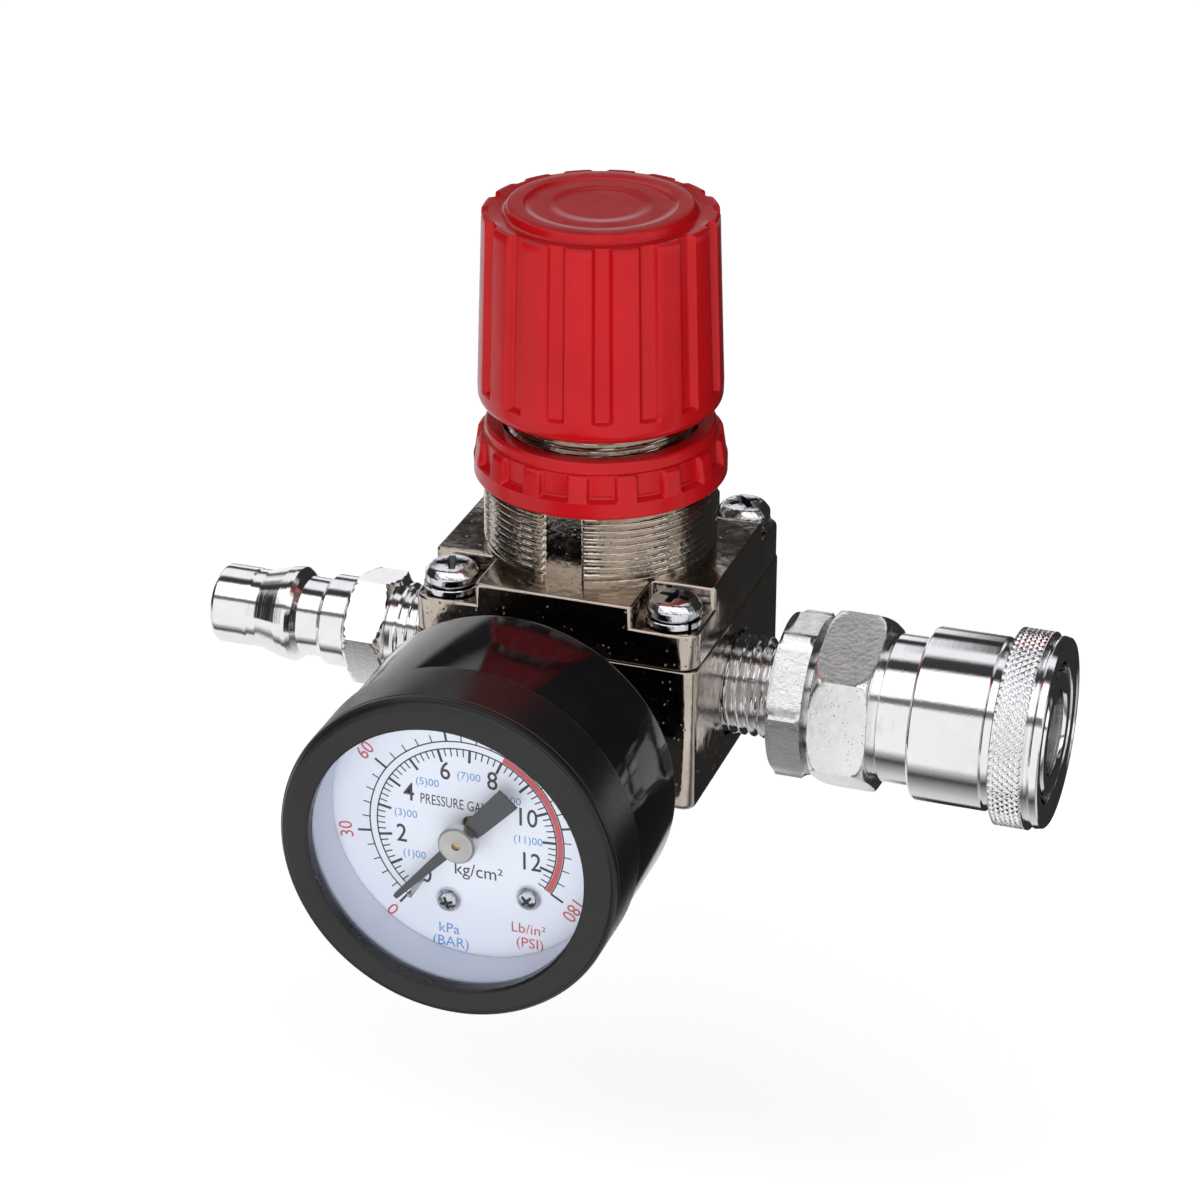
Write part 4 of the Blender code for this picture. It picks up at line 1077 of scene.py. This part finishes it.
# ------------------------------------------------------------------ outlet nipple
prof = [(3.2, 12.5), (6.2, 12.5)] + [(6.55, 12.7 + 0.12 * k) for k in range(0, 104)]
prof += fillet([(6.55, 25.1), (5.8, 25.3), (5.8, 25.5, 0.05), (10.3, 25.5, 0.15), (11.1, 26.0), (11.1, 29.5), (10.3, 30.0, 0.15), (6.4, 30.0), (6.45, 36.0), (3.2, 36.0)], 0.0, 4)
thn = thread_warp(1.337, 0.80, 12.6, 25.1)
hexn = hex_warp(19.0, 25.51, 29.99, HEX_N, 1.0)


def nipple_warp(T, R, H):
    R1, _ = hexn(T, R, H)
    R2, _ = thn(T, R, H)
    return np.where((H < 25.2) & (R > 5.0), R2, np.where(R > 5.0, R1, R)), H


nipple = lathe("nipple_turned", prof, CHROME_THREAD, PORTS @ Matrix.Rotation(math.radians(-7.5), 4, "Z"), MAIN, "outlet_nipple", seg=192, ring=True, warp=nipple_warp, sharp=35)

nipple.data.materials.append(CHROME_SATIN)
for poly in nipple.data.polygons:
    if 25.45 < poly.center.z / MM < 30.05 and math.hypot(poly.center.x, poly.center.y) > 7 * MM:
        poly.material_index = 1

# ------------------------------------------------------------------ socket
crown = [(10.45 + 1.72 * math.sqrt(max(0.0, 1 - (1 - t) ** 2)), t * 2.1) for t in (0, 0.02, 0.06, 0.12, 0.2, 0.3, 0.45, 0.6, 0.8, 1.0)]
prof = fillet([
    (6.85, 31.0, 0.1), (9.6, 31.0, 0.1), *[(r, 31.02 + z) for r, z in crown], *[(r, 38.68 - z) for r, z in reversed(crown)], (9.4, 38.72), (9.1, 38.75), (9.1, 39.5, 0.1), (9.6, 39.65, 0.15),
    (9.6, 43.8), (7.9, 43.8), (7.9, 54.4), (7.0, 54.4), (7.0, 55.4), (7.9, 55.4), (7.9, 60.5, 0.15), (7.6, 60.9, 0.2), (5.9, 60.9, 0.2), (5.6, 60.5, 0.15), (5.6, 50.6),
    (6.6, 50.6), (6.6, 48.8), (5.6, 48.8), (5.6, 48.2), (3.9, 48.2), (3.9, 47.0), (6.0, 47.0), (6.0, 37.4), (6.85, 37.4)], 0.0, 5, ring=True)
prof = dense(prof + [prof[0]], 0.6, 31.0, 38.8)[:-1]
sock = temp("sock", lathe_data("sock", prof, 192, ring=True, warp=hex_warp(21.0, 31.0, 38.7, HEX_S, 1.0)), PORTS @ Matrix.Rotation(math.radians(23.1), 4, "Z"))
tools = []
for turn in (Matrix.Rotation(math.radians(90), 4, "X"), ALONG_Z):
    tools.append(temp("bh", rods_data("bh", [(0, 0, 1.75, -9.5, 9.5)], 40), Matrix.Translation(Vector((52.6, 0, PZ)) * MM) @ turn))
bpy.context.view_layer.update()
data = boolean(sock, tools)
bpy.data.objects.remove(sock, do_unlink=True)
sock = wrap("socket_turned", data, CHROME, PORTS @ Matrix.Rotation(math.radians(23.1), 4, "Z"), MAIN, "socket_body", 35)
sock.data.materials.append(CHROME_SATIN)
for poly in sock.data.polygons:
    c = poly.center / MM
    if 31.0 < c.z < 38.75:
        poly.material_index = 1

KN = 76


def sleeve_warp(T, R, H):
    band = smooth((H - 54.95) / 0.25) * smooth((59.05 - H) / 0.25)
    u = (T / TAU * KN + (H - 57) / 1.25) % 1.0
    v = (T / TAU * KN - (H - 57) / 1.25) % 1.0
    cut = 1 - np.minimum(1 - np.abs(2 * u - 1), 1 - np.abs(2 * v - 1)) * 1.5
    return np.where(R > 12.2, R - 0.42 * np.clip(cut, 0, 1) * band, R), H


prof = fillet([
    (9.95, 43.95, 0.1), (10.9, 43.95, 0.3), (11.2, 44.3, 0.35), (11.2, 53.35, 0.15), (10.75, 53.55, 0.1), (10.7, 54.55, 0.1), (12.3, 54.75, 0.2), (12.7, 54.95, 0.1)], 0.0, 4)
prof += [(12.7, 54.95 + 0.11 * k) for k in range(1, 38)]
prof += fillet([
    (12.7, 59.05), (12.4, 59.2, 0.1), (11.9, 59.3, 0.08), (11.9, 59.65, 0.08), (12.2, 59.75, 0.1), (12.34, 60.1, 0.2), (12.2, 60.9, 0.15), (11.95, 61.1, 0.1), (11.6, 61.1, 0.1), (11.3, 60.85, 0.1),
    (9.4, 60.85, 0.1), (9.1, 60.6, 0.1), (9.1, 57.0), (9.4, 57.0), (9.4, 54.35), (8.65, 54.35), (8.2, 52.6), (8.2, 50.0), (9.95, 50.0)], 0.0, 4)
lathe("sleeve_turned", prof, CHROME, PORTS, "sleeve", "socket_sleeve", seg=KN * 8, ring=True, warp=sleeve_warp, sharp=35)

# small turned parts that show in the socket's mouth and underneath
lathe("socket_valve_round", fillet([(0, 44.6), (5.4, 44.6), (5.4, 46.5), (3.5, 46.6), (3.5, 50.5, 0.3), (3.1, 50.8, 0.2), (1.2, 50.8, 0.1), (1.0, 50.5), (0, 50.5)], 0.0, 3), BRASS, PORTS,
      "socket_valve", "socket_valve", seg=72)
rows = [(5.85 + 0.68 * math.cos(TAU * k / 20), 49.7 + 0.68 * math.sin(TAU * k / 20)) for k in range(20)]
lathe("packing_round", rows, RUBBER, PORTS, MAIN, "socket_packing", seg=96, ring=True)
rows = [(5.85 + 0.42 * math.cos(TAU * k / 16), -25.3 + 0.42 * math.sin(TAU * k / 16)) for k in range(16)]
lathe("bottom_o_ring_round", rows, RUBBER, ALONG_Z, MAIN, "bottom_plug_o_ring", seg=96, ring=True)


def hex_bore(af, low, high):
    def warp(T, R, H):
        inner = (R < af * 0.6) & (H >= low - 1e-6) & (H <= high + 1e-6)
        return np.where(inner, hex_radius(af, T), R), H
    return warp


lathe("bottom_plug_turned", fillet([
    (0, -25.6), (2.6, -25.6), (2.6, -27.5), (2.95, -27.6), (5.7, -27.6, 0.15), (6.2, -27.2, 0.15), (6.2, -26.0), (5.3, -26.0), (5.3, -24.6), (6.2, -24.6), (6.2, -23.7), (0, -23.7)],
    0.0, 3), BRASS, ALONG_Z, MAIN, "bottom_plug", seg=144, warp=hex_bore(5.0, -27.5, -25.6))
lathe("rear_plug_turned", fillet([
    (0, -14.2), (2.6, -14.2), (2.6, -18.4), (2.95, -18.5), (4.3, -18.5, 0.15), (4.7, -18.15, 0.1), (4.7, -11.6), (4.4, -11.2), (0, -11.2)], 0.0, 3), STEEL,
    Matrix.Translation(Vector((0, 0, GZ)) * MM) @ ALONG_FRONT, MAIN, "rear_port_plug", seg=144, warp=hex_bore(5.0, -18.4, -14.2))
for i, (dy, dz) in enumerate(((1, 0), (-1, 0), (0, 1), (0, -1))):
    lo_, hi_ = span(f"locking_ball_{i + 1}")
    c = (lo_ + hi_) / 2
    bm = bmesh.new()
    bmesh.ops.create_icosphere(bm, subdivisions=4, radius=1.6 * MM)
    data = bpy.data.meshes.new(f"ball_{i + 1}_round")
    bm.to_mesh(data)
    bm.free()
    wrap(f"ball_{i + 1}_round", data, STEEL, Matrix.Translation(Vector(c) * MM), f"ball_{i + 1}", f"locking_ball_{i + 1}", 60)

# ------------------------------------------------------------------ the CAD nodes that stay
KEEP = {
    "diaphragm": RUBBER, "diaphragm_plate": BRASS, "poppet_valve": BRASS, "poppet_seal": RUBBER, "poppet_spring": SPRING, "adjusting_screw": STEEL,
    "spring_nut": BRASS, "range_spring": SPRING, "lock_ring_insert": BRASS, "movement_front_plate": BRASS, "movement_back_plate": BRASS,
    "movement_pillar_1": BRASS, "movement_pillar_2": BRASS, "pinion_shaft": BRASS, "sector_gear": BRASS, "bourdon_tube": BRASS,
    "socket_valve_spring": SPRING, "stop_ring": STEEL, "sleeve_spring": SPRING,
}
for name, mat in KEEP.items():
    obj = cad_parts[name]
    obj.data.materials.clear()
    obj.data.materials.append(mat)
